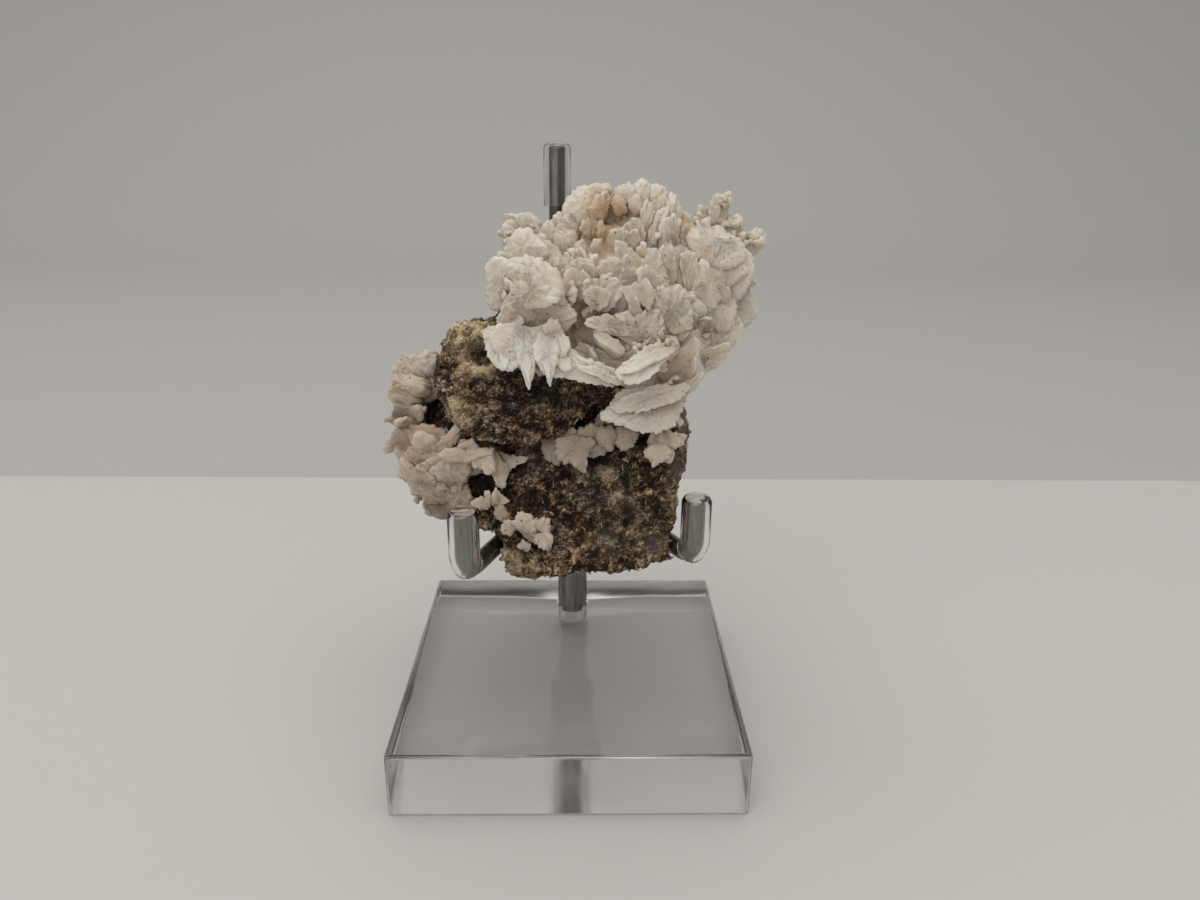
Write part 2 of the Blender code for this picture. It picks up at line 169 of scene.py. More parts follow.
def new_object(name, verts, faces, material, layers=(), smooth=True):
    """An object from corners in millimetres. layers holds names, and a value for each corner."""
    mesh = bpy.data.meshes.new(name)
    mesh.from_pydata((np.asarray(verts) * MM).tolist(), [], faces)
    for layer, values in layers:
        values = np.asarray(values, dtype=np.float32)
        kind = "FLOAT" if values.ndim == 1 else "FLOAT_VECTOR"
        field = "value" if values.ndim == 1 else "vector"
        mesh.attributes.new(layer, kind, "POINT").data.foreach_set(field, values.ravel())
    mesh.polygons.foreach_set("use_smooth", [smooth] * len(mesh.polygons))
    mesh.materials.append(material)
    obj = bpy.data.objects.new(name, mesh)
    bpy.context.scene.collection.objects.link(obj)
    return obj


def corners_of(mesh):
    """A mesh's corners in millimetres, and its corner normals."""
    places = np.empty(len(mesh.vertices) * 3)
    mesh.vertices.foreach_get("co", places)
    normals = np.empty(len(mesh.vertices) * 3, dtype=np.float32)
    mesh.vertex_normals.foreach_get("vector", normals)
    return places.reshape(-1, 3) / MM, normals.reshape(-1, 3).astype(float)


def faces_of(mesh):
    return [tuple(face.vertices) for face in mesh.polygons]


def remeshed(mesh, voxel, smooth=0):
    """A finely and evenly meshed skin of a mesh: its corners, their normals and its faces."""
    copy = bpy.data.objects.new("copy", mesh)
    bpy.context.scene.collection.objects.link(copy)
    fine = copy.modifiers.new("fine", "REMESH")
    fine.mode = "VOXEL"
    fine.voxel_size = voxel * MM
    if smooth:
        soften = copy.modifiers.new("soften", "SMOOTH")
        soften.iterations = smooth
        soften.factor = 0.5
    bpy.context.view_layer.update()
    evaluated = copy.evaluated_get(bpy.context.evaluated_depsgraph_get())
    skin = bpy.data.meshes.new_from_object(evaluated)
    places, normals = corners_of(skin)
    faces = faces_of(skin)
    bpy.data.objects.remove(copy)
    bpy.data.meshes.remove(skin)
    return places, normals, faces


def cad_mesh(node):
    """A CAD node's mesh, in the place where the node stands."""
    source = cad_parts[node]
    mesh = source.data.copy()
    mesh.transform(source.matrix_world)
    return mesh


def finish(obj, slot, *nodes):
    """Parents the piece to the root body and hides the CAD nodes that it stands for. slot is not used."""
    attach(obj, "root")
    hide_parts(*nodes)


# Stand clearance


def rod_lines():
    """The stand's rods and tips near the specimen, as start, end and radius."""
    hub = np.array((0.0, POST_Y, ARM_Z))
    lines = []
    for prong in (LEFT_PRONG, RIGHT_PRONG):
        foot = np.array((*prong, ARM_Z))
        lines.append((hub, foot, ROD_RADIUS))
        lines.append((foot, np.array((*prong, PRONG_TOP - TIP_RADIUS)), TIP_RADIUS))
    top = np.array((BACK_ROD_X, POST_Y, BACK_ROD_TOP))
    lines.append((np.array((BACK_ROD_X, POST_Y, ARM_Z)), top, ROD_RADIUS))
    lines.append((np.array((BACK_ROD_X, POST_Y, BACK_TIP_FOOT)), top, TIP_RADIUS))
    return lines


ROD_LINES = rod_lines()


def clear_of_stand(places):
    """Moves any corner that a displaced surface pushed into a rod back out to the rod's skin."""
    for start, end, radius in ROD_LINES:
        axis = end - start
        along = np.clip((places - start) @ axis / (axis @ axis), 0, 1)
        away = places - (start + along[:, None] * axis)
        distance = np.linalg.norm(away, axis=1)
        inside = distance < radius + STAND_ROOM
        scale = (radius + STAND_ROOM) / np.maximum(distance[inside], 1e-6)
        places[inside] += away[inside] * (scale - 1)[:, None]
    return places


# Plates of calcite

# How finely plates are meshed: along an outline in pixels, and in millimetres along a sprout's outline
# and between rings. The counts are the fewest places along an outline and the fewest rings
PIXEL_STEP = 1.7
SPROUT_STEP = 0.48
RING_STEP = 0.32
LEAST_COUNT = 14
LEAST_RINGS = 4
# How far a plate's back swells towards the core, as a share of its lift
BELLY = 1.0
# How much of that the whole plate sinks at its root, so that the plates below cover it
ROOT_SINK = 0.5
RIB_GAIN = 2.3
# The ribs' weights, sizes in millimetres and seeds, their stretch along the fan, and their usual height
RIBS = ((1.3, 1.7, 7), (1.3, 0.8, 8), (1.0, 0.42, 10))
RIB_STRETCH = (1.0, 0.2, 1.0)
RIB_LEVEL = 0.85
# How plates warp: the size, how far at least and how far more for each millimetre of thickness, and seeds
WARPS = ((1.7, 0.09, 0.08, (11, 12, 13)), (0.7, 0.04, 0.06, (14, 15, 16)))
# Growth steps across a plate, in millimetres
STEP_WIDTH = 1.25
STEP_DROP = 0.13
SPROUT_RIBS = 0.30
SPROUT_JAG = 0.36
SPROUT_BELLY = 0.4
# The outline of a petal after its root, as shares of its width and length
PETAL_FORM = (
    (-0.28, 0.15), (-0.46, 0.42), (-0.48, 0.70), (-0.33, 0.93), (-0.10, 0.96), (0.12, 1.0), (0.34, 0.92),
    (0.5, 0.68), (0.45, 0.40), (0.26, 0.14),
)
# Pixels round the one that a sight line goes through, whose depths are averaged
SIGHT_RADIUS = 7
SIGHT_SPREAD = [(0, 0)]
for a in np.arange(0, 2 * math.pi, math.pi / 4):
    SIGHT_SPREAD.append((SIGHT_RADIUS * math.cos(a), SIGHT_RADIUS * math.sin(a)))
# A surface is seen edge on when its slope to the sight line is under this, and two depths that are
# closer than this many millimetres are one surface
EDGE_ON = 0.1
SAME_DEPTH = 1.0
# How far over the surface its crowding is felt from, in millimetres
SKIN_GAP = 0.12
# Directions over a hemisphere round +Z
DOME = [(0.0, 0.0, 1.0)]
DOME += [(0.8 * math.cos(a), 0.8 * math.sin(a), 0.6) for a in np.arange(0, 6) * math.pi / 3]


def smooth_loop(points, spacing):
    """Evenly spaced places along a closed curve through the points."""
    here = np.asarray(points, dtype=float)
    before, after, beyond = np.roll(here, 1, 0), np.roll(here, -1, 0), np.roll(here, -2, 0)
    parts = []
    for t in np.arange(0, 1, 0.125):
        square = 2 * before - 5 * here + 4 * after - beyond
        cube = 3 * here - before - 3 * after + beyond
        parts.append(here + 0.5 * ((after - before) * t + square * t**2 + cube * t**3))
    curve = np.stack(parts, axis=1).reshape(-1, here.shape[1])
    curve = np.vstack((curve, curve[:1]))
    along = np.concatenate(([0], np.cumsum(np.linalg.norm(np.diff(curve, axis=0), axis=1))))
    steps = np.linspace(0, along[-1], max(LEAST_COUNT, round(along[-1] / spacing)), endpoint=False)
    return np.stack([np.interp(steps, along, column) for column in curve.T], axis=1)


def turned(lean, turn):
    """The direction towards the camera, leant up and turned to the right by degrees."""
    lean, turn = math.radians(lean), math.radians(turn)
    return (
        -CAMERA_FORWARD * math.cos(lean) * math.cos(turn) + CAMERA_UP * math.sin(lean)
        + CAMERA_RIGHT * math.sin(turn) * math.cos(lean)
    )


SHELLS = {}


def shell_faces(rings, count):
    """Faces of a closed lens: two discs of rings round a middle corner, which share the outer ring."""
    if (rings, count) not in SHELLS:
        front = [1 + ring * count for ring in range(rings)]
        back_middle = 1 + rings * count
        back = [back_middle + 1 + ring * count for ring in range(rings - 1)] + [front[-1]]
        after = [(k + 1) % count for k in range(count)]
        faces = []
        for middle, starts, order in ((0, front, 1), (back_middle, back, -1)):
            for k in range(count):
                faces.append((middle, starts[0] + k, starts[0] + after[k])[::order])
                for inner, outer in zip(starts, starts[1:]):
                    faces.append((inner + k, outer + k, outer + after[k], inner + after[k])[::order])
        SHELLS[rings, count] = faces
    return SHELLS[rings, count]


def rib_height(fan):
    """Rounded ribs with sharp creases between them, from places on a plate's fan."""
    flat = fan.reshape(-1, 3) * RIB_STRETCH
    ribs = sum(weight * np.abs(noise(flat, size, seed)) for weight, size, seed in RIBS)
    return (ribs - RIB_LEVEL).reshape(fan.shape[:-1])


class Growth:
    """Gathers closed shells into one mesh, with each corner's place on its plate."""

    def __init__(self, seed):
        self.draw = np.random.default_rng(seed)
        self.places = []
        self.faces = []
        self.rims = []
        self.grain = []
        self.count = 0

    def plate(self, loop, root, normal, bulge, thick, ribs, jag, belly):
        """Adds a plate inside a loop of places on a plane, with ribs that fan out from its root.

        Its rim is thin and ragged by jag, and its back swells by belly towards the mass under it.
        """
        draw = self.draw
        number = draw.uniform(0, 500)
        centre = loop.mean(axis=0)
        side = np.cross(normal, (0.13, 0.21, 0.97))
        side /= np.linalg.norm(side)
        rise = np.cross(normal, side)
        flat = np.stack(((loop - centre) @ side, (loop - centre) @ rise), axis=1)
        size = np.linalg.norm(flat, axis=1, keepdims=True)
        base = np.array(((root - centre) @ side, (root - centre) @ rise))
        longest = np.linalg.norm(flat - base, axis=1).max()
        towards = -base / max(np.linalg.norm(base), 1e-6)
        across = np.array((-towards[1], towards[0]))

        def fan(away):
            """How far round the fan of ribs and how far out from the root each place is."""
            angle = np.arctan2(away @ across, away @ towards)
            reach = np.linalg.norm(away, axis=-1)
            return np.stack((angle * longest, reach, np.full(reach.shape, number)), axis=-1)

        edge_ribs = rib_height(fan(flat - base))
        ragged = noise(loop + number, 1.3, 5) + 0.7 * noise(loop + number, 0.6, 6) + 1.3 * edge_ribs
        flat = flat * (1 + jag * ragged[:, None] / np.maximum(size, 0.6))
        rings = max(LEAST_RINGS, int(size.mean() / RING_STEP))
        share = (1 - (1 - np.arange(1, rings + 1) / rings) ** 1.55)[:, None]
        spread = share[..., None] * flat[None]
        grain = fan(spread - base)
        reach = grain[..., 1]
        q = reach / longest
        rib = rib_height(grain)
        flat_out = spread[..., :1] * side + spread[..., 1:] * rise + centre
        wander = noise(flat_out.reshape(-1, 3), 2.6, 9).reshape(reach.shape)
        step = np.mod(reach / STEP_WIDTH + 1.3 * wander + number, 1.0)
        edge = np.sqrt(1 - share**16) + 0 * q
        half = 0.5 * thick * edge * (1.15 - 0.4 * q)
        sunk = ROOT_SINK * belly * np.clip(1 - q, 0, 1) ** 1.4
        level = bulge * (1 - share**2) + 0.25 * wander - sunk
        relief = RIB_GAIN * ribs * rib * (0.4 + q) - STEP_DROP * step
        front = level + half + relief * np.minimum(edge * 1.5, 1)
        back = level - half - (1 - ROOT_SINK) * belly * (1 - share**1.4)
        count = len(loop)
        middle = np.zeros((1, 2))
        outline = np.concatenate((middle, spread.reshape(-1, 2), middle, spread[:-1].reshape(-1, 2)))
        heights = np.concatenate((
            [front[0].mean()], front[:-1].ravel(), level[-1], [back[0].mean()], back[:-1].ravel()))
        places = centre + outline[:, :1] * side + outline[:, 1:] * rise + heights[:, None] * normal
        for warp, least, more, seeds in WARPS:
            shift = np.stack([noise(places, warp, seed) for seed in seeds], axis=1)
            places += (least + more * thick) * shift
        rim = q * share**2
        rims = np.concatenate(([0.0], rim.ravel(), [0.0], rim[:-1].ravel()))
        start = np.array(((0.0, 0.5 * longest, number),))
        grain = np.concatenate((start, grain.reshape(-1, 3), start, grain[:-1].reshape(-1, 3)))
        self.places.append(places)
        for face in shell_faces(rings, count):
            self.faces.append(tuple(corner + self.count for corner in face))
        self.rims.append(rims)
        self.grain.append(grain)
        self.count += len(places)

    def outlined(self, ground, plates, jag):
        """One plate for each named outline, which holds the photograph's pixels, the root first."""
        for lift, lean, turn, bulge, thick, ribs, outline in plates.values():
            normal = turned(lean, turn)
            pixels = smooth_loop(outline, PIXEL_STEP)
            middle = ground.seen(*pixels.mean(axis=0), lift)
            pixels = np.vstack((outline[:1], pixels))
            lines = sight_line(pixels[:, 0], pixels[:, 1])
            reach = (middle - CAMERA_PLACE) @ normal / (lines @ normal)
            loop = CAMERA_PLACE + lines * reach[:, None]
            self.plate(loop[1:], loop[0], normal, bulge, thick, ribs, jag, BELLY * max(lift, 0.5))

    def sprout(self, root, axis, face, length, width):
        """Adds a plate of random outline that grows from root along axis, its front towards face."""
        draw = self.draw
        normal = face - axis * (face @ axis)
        normal /= np.linalg.norm(normal)
        side = np.cross(axis, normal)
        points = [(0.0, 0.0)]
        for across, along in PETAL_FORM:
            out = across * width * draw.uniform(0.8, 1.2)
            points.append((out, along * length * draw.uniform(0.88, 1.1)))
        loop = smooth_loop(points, SPROUT_STEP)
        loop = root + loop[:, :1] * side + loop[:, 1:] * axis
        bulge = draw.uniform(-0.1, 0.12) * width
        thick = draw.uniform(0.6, 1.1)
        self.plate(loop, root, normal, bulge, thick, SPROUT_RIBS, SPROUT_JAG, SPROUT_BELLY)

    def skin(self):
        """All the shells as one mesh: corners, faces, and each corner's rim share and grain."""
        places, rims, grain = (np.concatenate(parts) for parts in (self.places, self.rims, self.grain))
        return places, self.faces, rims, grain


class Ground:
    """The surface that plates stand on, met by sight lines from the camera or by nearness."""

    def __init__(self, places, faces):
        self.tree = BVHTree.FromPolygons([tuple(place) for place in places], faces)

    def seen(self, u, v, lift=0.0):
        """The place at a pixel of the photograph, as deep as the surface there but lift nearer."""
        depths = []
        for du, dv in SIGHT_SPREAD:
            line = sight_line(u + du, v + dv)
            hit = self.tree.ray_cast(Vector(CAMERA_PLACE), Vector(line))[0]
            if hit is not None:
                depths.append((np.array(hit) - CAMERA_PLACE) @ CAMERA_FORWARD)
        line = sight_line(u, v)
        if not depths:
            guess = CAMERA_PLACE + line * np.linalg.norm(CAMERA_PLACE - ROSETTE_MIDDLE)
            nearest = np.array(self.tree.find_nearest(Vector(guess))[0])
            depths.append((nearest - CAMERA_PLACE) @ CAMERA_FORWARD)
        return CAMERA_PLACE + line * (np.mean(depths) - lift) / (line @ CAMERA_FORWARD)

    def in_view(self, place, normal):
        """Whether the camera sees this place of the surface."""
        line = place - CAMERA_PLACE
        reach = np.linalg.norm(line)
        line /= reach
        if normal @ line > -EDGE_ON:
            return False
        hit = self.tree.ray_cast(Vector(CAMERA_PLACE), Vector(line))[0]
        return hit is not None and abs(np.linalg.norm(np.array(hit) - CAMERA_PLACE) - reach) < SAME_DEPTH


def hidden(tree, place, depth):
    """Whether something stands more than depth in front of a place, as the camera sees it."""
    line = place - CAMERA_PLACE
    reach = np.linalg.norm(line)
    hit = tree.ray_cast(Vector(CAMERA_PLACE), Vector(line / reach))[3]
    return hit is not None and hit < reach - depth


def crowding(tree, places, faces, reach):
    """How much of the space over each corner is taken up within reach, from 0 to 1."""
    skin = bpy.data.meshes.new("skin")
    skin.from_pydata(places.tolist(), [], faces)
    normals = corners_of(skin)[1]
    bpy.data.meshes.remove(skin)
    side = np.cross(normals, (0.31, 0.17, 0.93))
    side /= np.linalg.norm(side, axis=1, keepdims=True)
    rise = np.cross(normals, side)
    starts = (places + normals * SKIN_GAP).tolist()
    total = np.zeros(len(places))
    for a, b, c in DOME:
        lines = (a * side + b * rise + c * normals).tolist()
        hits = [tree.ray_cast(start, line, reach)[3] for start, line in zip(starts, lines)]
        total += [0.0 if hit is None else 1 - hit / reach for hit in hits]
    return total / len(DOME)


# Materials


class Graph:
    """Short calls for a material's nodes."""

    def __init__(self, name):
        self.material = bpy.data.materials.new(name)
        self.material.use_nodes = True
        self.tree = self.material.node_tree
        self.shader = self.tree.nodes["Principled BSDF"]

    def node(self, kind, values=(), **settings):
        made = self.tree.nodes.new(kind)
        for key, value in settings.items():
            setattr(made, key, value)
        for key, value in dict(values).items():
            self.feed(made.inputs[key], value)
        return made

    def feed(self, socket, value):
        if isinstance(value, bpy.types.NodeSocket):
            self.tree.links.new(value, socket)
        else:
            socket.default_value = value

    def set(self, **values):
        for key, value in values.items():
            self.feed(self.shader.inputs[key.replace("_", " ")], value)

    def layer(self, name, output="Fac"):
        return self.node("ShaderNodeAttribute", attribute_name=name).outputs[output]

    def place(self):
        return self.node("ShaderNodeTexCoord").outputs["Object"]

    def noise(self, where, size, detail=3.0, rough=0.55, stretch=None):
        if stretch is not None:
            where = self.node("ShaderNodeMapping", {"Vector": where, "Scale": stretch}).outputs[0]
        values = {"Vector": where, "Scale": 1 / size, "Detail": detail, "Roughness": rough}
        return self.node("ShaderNodeTexNoise", values).outputs["Fac"]

    def cells(self, where, size, output="Distance"):
        return self.node("ShaderNodeTexVoronoi", {"Vector": where, "Scale": 1 / size}).outputs[output]

    def span(self, value, low, high, to_low=0.0, to_high=1.0):
        values = {"Value": value, "From Min": low, "From Max": high, "To Min": to_low, "To Max": to_high}
        return self.node("ShaderNodeMapRange", values).outputs[0]

    def math(self, operation, first, second=0.0, clamp=False):
        made = self.node("ShaderNodeMath", operation=operation, use_clamp=clamp)
        self.feed(made.inputs[0], first)
        self.feed(made.inputs[1], second)
        return made.outputs[0]

    def mix(self, share, first, second, blend="MIX"):
        made = self.node("ShaderNodeMix", data_type="RGBA", blend_type=blend)
        self.feed(made.inputs[0], share)
        self.feed(made.inputs[6], first if isinstance(first, bpy.types.NodeSocket) else (*first, 1))
        self.feed(made.inputs[7], second if isinstance(second, bpy.types.NodeSocket) else (*second, 1))
        return made.outputs[2]

    def ramp(self, value, stops):
        made = self.node("ShaderNodeValToRGB", {"Fac": value})
        elements = made.color_ramp.elements
        while len(elements) < len(stops):
            elements.new(0.5)
        for element, (place, colour) in zip(elements, stops):
            element.position = place
            element.color = (*colour, 1)
        return made.outputs["Color"]

    def bump(self, height, strength, distance, normal=None):
        values = {"Height": height, "Strength": strength, "Distance": distance}
        if normal is not None:
            values["Normal"] = normal
        return self.node("ShaderNodeBump", values).outputs[0]


def calcite_material(name, white, peach, shade):
    """White to peach calcite. Roots and hollows are peach and specked, partly as painted shade, and rims
    are white, partly as a painted highlight.
    """
    graph = Graph(name)
    place = graph.place()
    tint = graph.layer("tint")
    rim = graph.layer("rim")
    shade_and_grey = graph.layer("shade_and_grey")
    grain = graph.layer("grain", "Vector")
    cloud = graph.noise(place, 2.6 * MM, 4)
    mottled = graph.math("ADD", tint, graph.span(cloud, 0.35, 0.65, -0.10, 0.16), clamp=True)
    # Warmer near the roots and whiter out at the rims: partly the plates' own colour, partly painted
    # shade at the roots and a painted highlight on the rims
    low = graph.span(rim, 0.1, 0.95, 0.14, -0.30)
    warm = graph.math("ADD", mottled, low, clamp=True)
    colour = graph.mix(warm, white, peach)
    creamy = graph.span(graph.noise(place, 6.5 * MM, 2), 0.52, 0.66, 0, 0.18)
    colour = graph.mix(creamy, colour, (1.0, 0.90, 0.72), blend="MULTIPLY")
    streaks = graph.noise(grain, 0.7, 5, 0.7, stretch=(3.6, 0.35, 1.0))
    colour = graph.mix(graph.span(streaks, 0.52, 0.78, 0, 0.18), colour, shade)
    dust = graph.noise(place, 0.5 * MM, 3)
    colour = graph.mix(graph.span(dust, 0.5, 0.75, 0, 0.14), colour, shade)
    # Darker warm brown by the mask: painted shade in crevices and shaded places, and partly the crust
    # druse's own greyer tone
    colour = graph.mix(shade_and_grey, colour, (0.24, 0.18, 0.13))
    speck = graph.span(graph.cells(place, 1.2 * MM), 0.10, 0.16, 1, 0)
    patch = graph.span(graph.noise(place, 4.0 * MM, 1), 0.50, 0.56)
    specks = graph.math("MULTIPLY", graph.math("MULTIPLY", speck, patch), graph.span(warm, 0.05, 0.30))
    colour = graph.mix(specks, colour, (0.10, 0.07, 0.045))
    fine = graph.bump(graph.noise(place, 0.28 * MM, 4, 0.75), 0.8, 0.13 * MM)
    sugary = graph.bump(graph.noise(place, 0.85 * MM, 3, 0.6), 0.8, 0.30 * MM, fine)
    ribbed = graph.bump(streaks, 0.9, 0.24 * MM, sugary)
    graph.set(
        Base_Color=colour,
        Roughness=graph.span(dust, 0.3, 0.7, 0.38, 0.60),
        Subsurface_Weight=0.42,
        Subsurface_Radius=(1.0, 0.80, 0.62),
        Subsurface_Scale=0.8 * MM,
        IOR=1.55,
        Normal=ribbed,
    )
    return graph.material


def rock_material():
    """Crumbly brown limestone, where each grain has its own tone, and low places and hollows are painted
    near black as shade.
    """
    graph = Graph("rock_brown")
    place = graph.place()
    coarse = graph.noise(place, 5.0 * MM, 5, 0.6)
    fine = graph.noise(place, 0.34 * MM, 4, 0.75)
    cells = graph.cells(place, 0.36 * MM, "Color")
    grit = graph.node("ShaderNodeSeparateColor", {"Color": cells}).outputs[0]
    # Lower places darker and higher ones lighter: painted shade and light by height
    height = graph.span(graph.layer("height"), -0.4, 0.4, -0.30, 0.30)
    value = graph.math("ADD", graph.span(fine, 0.3, 0.7, -0.20, 0.28), graph.layer("shade"))
    value = graph.math("ADD", value, graph.span(grit, 0.0, 1.0, -0.26, 0.24))
    value = graph.math("ADD", value, graph.span(coarse, 0.3, 0.7, -0.08, 0.12))
    value = graph.math("ADD", value, height, clamp=True)
    brown = graph.ramp(value, (
        (0.0, (0.008, 0.005, 0.003)), (0.25, (0.034, 0.020, 0.011)), (0.45, (0.115, 0.070, 0.036)),
        (0.7, (0.27, 0.175, 0.095)), (1.0, (0.62, 0.47, 0.30)),
    ))
    grey = graph.ramp(value, (
        (0.0, (0.012, 0.009, 0.007)), (0.25, (0.045, 0.033, 0.023)), (0.45, (0.13, 0.098, 0.070)),
        (0.7, (0.28, 0.22, 0.16)), (1.0, (0.58, 0.50, 0.40)),
    ))
    tan = graph.ramp(value, (
        (0.0, (0.18, 0.125, 0.068)), (0.25, (0.44, 0.325, 0.19)), (0.55, (0.68, 0.53, 0.34)),
        (1.0, (0.88, 0.75, 0.55)),
    ))
    share = graph.span(graph.noise(place, 8.0 * MM, 2), 0.48, 0.66)
    colour = graph.mix(share, brown, grey)
    colour = graph.mix(graph.layer("tone"), colour, tan)
    chalky = graph.mix(fine, (0.26, 0.23, 0.17), (0.50, 0.46, 0.38))
    colour = graph.mix(graph.layer("pale"), colour, chalky)
    # Near black by the mask: painted shade in the rock's hollows and cavities
    colour = graph.mix(graph.layer("shade_and_grey"), colour, (0.008, 0.006, 0.005))
    rough = graph.bump(graph.math("ADD", fine, graph.math("MULTIPLY", grit, 0.5)), 0.9, 0.16 * MM)
    graph.set(Base_Color=colour, Roughness=0.88, Normal=rough, IOR=1.45, Specular_IOR_Level=0.3)
    return graph.material


def steel_material(name, bright):
    """Drawn steel. bright scales how much light it gives back."""
    graph = Graph(name)
    place = graph.place()
    drawn = graph.noise(place, 0.5 * MM, 4, 0.6, stretch=(1.0, 1.0, 0.06))
    cloudy = graph.noise(place, 3.0 * MM, 3)
    tones = ((0.19, 0.18, 0.165), (0.34, 0.325, 0.30), (0.15, 0.14, 0.125))
    dark, light, cloud = (tuple(bright * v for v in tone) for tone in tones)
    colour = graph.mix(graph.span(drawn, 0.35, 0.7), dark, light)
    colour = graph.mix(graph.span(cloudy, 0.5, 0.75, 0, 0.25), colour, cloud)
    graph.set(
        Base_Color=colour, Metallic=1.0, Roughness=graph.span(drawn, 0.3, 0.7, 0.24, 0.4),
        Normal=graph.bump(drawn, 0.15, 0.02 * MM),
    )
    return graph.material


def acrylic_material():
    """Clear acrylic, polished where it faces up or down and slightly frosted on its cut sides."""
    graph = Graph("acrylic_clear")
    place = graph.place()
    facing = graph.node("ShaderNodeNewGeometry").outputs["Normal"]
    upward = graph.node("ShaderNodeSeparateXYZ", {"Vector": facing})
    polished = graph.math("ABSOLUTE", upward.outputs["Z"])
    marks = graph.span(graph.noise(place, 4.0 * MM, 3), 0.45, 0.75, 0.0, 0.04)
    rough = graph.math("ADD", graph.span(polished, 0.5, 0.95, 0.16, 0.02), marks)
    graph.set(Base_Color=(1.0, 1.0, 1.0, 1.0), Transmission_Weight=1.0, IOR=1.49, Roughness=rough)
    return graph.material


def vinyl_material():
    graph = Graph("vinyl_clear")
    place = graph.place()
    marks = graph.noise(place, 3.0 * MM, 3)
    graph.set(
        Base_Color=(0.98, 0.98, 0.97, 1.0), Transmission_Weight=1.0, IOR=1.45,
        Roughness=graph.span(marks, 0.45, 0.75, 0.04, 0.10),
        Normal=graph.bump(graph.noise(place, 1.8 * MM, 2), 0.12, 0.15 * MM),
    )
    return graph.material


def plain_material(name, colour):
    graph = Graph(name)
    graph.set(Base_Color=(*colour, 1.0), Roughness=0.9)
    return graph.material


# Rock

# Where the rock is tan or pale, and where its hollows get painted shade, as the photograph's pixel, a
# radius in millimetres and a strength
TAN_SPOTS = (
    (462, 330, 3.2, 1.0), (450, 332, 2.4, 0.9), (476, 334, 2.6, 0.9), (486, 322, 2.2, 0.7),
    (469, 363, 2.0, 0.9), (484, 370, 1.4, 0.8), (494, 366, 1.2, 0.7), (455, 405, 2.2, 0.6),
    (462, 416, 2.0, 0.5), (520, 573, 3.5, 0.35), (505, 562, 3.0, 0.4), (678, 500, 2.2, 0.5),
    (618, 505, 2.6, 0.45), (605, 470, 1.8, 0.4),
)
PALE_SPOTS = (
    (687, 415, 2.0, 0.9), (686, 400, 1.4, 0.9), (684, 440, 2.2, 0.5), (680, 470, 2.4, 0.35),
    (655, 545, 3.0, 0.25), (605, 540, 2.4, 0.3), (510, 447, 2.6, 0.35), (535, 450, 2.0, 0.35),
)
# Painted shade in the rock's hollows and cavities
RECESS_SHADE_SPOTS = (
    (474, 350, 1.6, 0.9), (482, 352, 1.4, 0.9), (538, 385, 2.2, 0.9), (548, 392, 2.0, 0.9),
    (560, 402, 2.2, 0.6), (580, 402, 2.6, 0.6), (606, 398, 2.2, 0.8), (440, 400, 2.4, 0.85),
    (428, 395, 1.8, 0.6), (478, 475, 2.6, 0.95), (488, 486, 2.4, 0.95), (470, 468, 2.0, 0.9),
    (500, 497, 1.8, 0.8), (518, 500, 2.4, 0.6), (600, 455, 2.2, 0.8), (590, 462, 1.6, 0.7),
    (622, 452, 2.0, 0.8), (640, 440, 1.6, 0.8), (626, 512, 1.3, 0.7), (610, 522, 1.6, 0.7),
    (625, 480, 1.2, 0.7), (594, 505, 1.6, 0.6), (560, 475, 2.6, 0.5), (570, 450, 2.0, 0.5),
    (540, 450, 1.5, 0.7), (535, 505, 2.0, 0.5), (500, 470, 1.4, 0.6), (560, 535, 1.8, 0.4),
    (485, 545, 2.6, 0.5), (498, 530, 1.8, 0.4),
)
# Cracks and ledges: the pixels of their ends, their width, and their depth, which is negative for ledges
CREASES = (
    (460, 345, 488, 344, 0.45, 1.1), (446, 346, 460, 347, 0.4, 0.7), (452, 320, 453, 343, 0.5, 0.5),
    (468, 322, 470, 342, 0.5, 0.5), (478, 324, 479, 342, 0.4, 0.4), (476, 374, 497, 367, 0.5, -0.8),
    (441, 382, 460, 374, 0.5, -0.5), (445, 402, 456, 402, 0.6, -0.6), (455, 404, 462, 440, 0.8, -0.5),
    (480, 447, 530, 455, 0.9, -0.6), (530, 455, 545, 446, 0.8, -0.5), (470, 400, 530, 398, 0.8, 0.6),
    (600, 480, 606, 515, 0.8, 0.6), (560, 500, 600, 530, 0.8, 0.7), (625, 475, 630, 515, 0.7, 0.7),
)


def seen_spots(places, spots, ground):
    """The sum of spots that fade with distance, from 0 to 1, at each place."""
    total = np.zeros(len(places))
    for u, v, radius, strength in spots:
        middle = ground.seen(u, v)
        total += strength * np.exp(-((np.linalg.norm(places - middle, axis=1) / radius) ** 2))
    return np.clip(total, 0, 1)


def creased(places, creases, ground):
    """How deep each place lies in the creases."""
    depth = np.zeros(len(places))
    for u0, v0, u1, v1, width, drop in creases:
        start, end = ground.seen(u0, v0), ground.seen(u1, v1)
        axis = end - start
        along = np.clip((places - start) @ axis / (axis @ axis), 0, 1)
        away = np.linalg.norm(places - start - along[:, None] * axis, axis=1)
        depth += drop * np.exp(-((away / width) ** 2))
    return depth


def random_turns(draw, count):
    """Random rotation matrices."""
    first = draw.normal(size=(count, 3))
    first /= np.linalg.norm(first, axis=1, keepdims=True)
    second = np.cross(first, draw.normal(size=(count, 3)))
    second /= np.linalg.norm(second, axis=1, keepdims=True)
    return np.stack((first, second, np.cross(first, second)), axis=1)


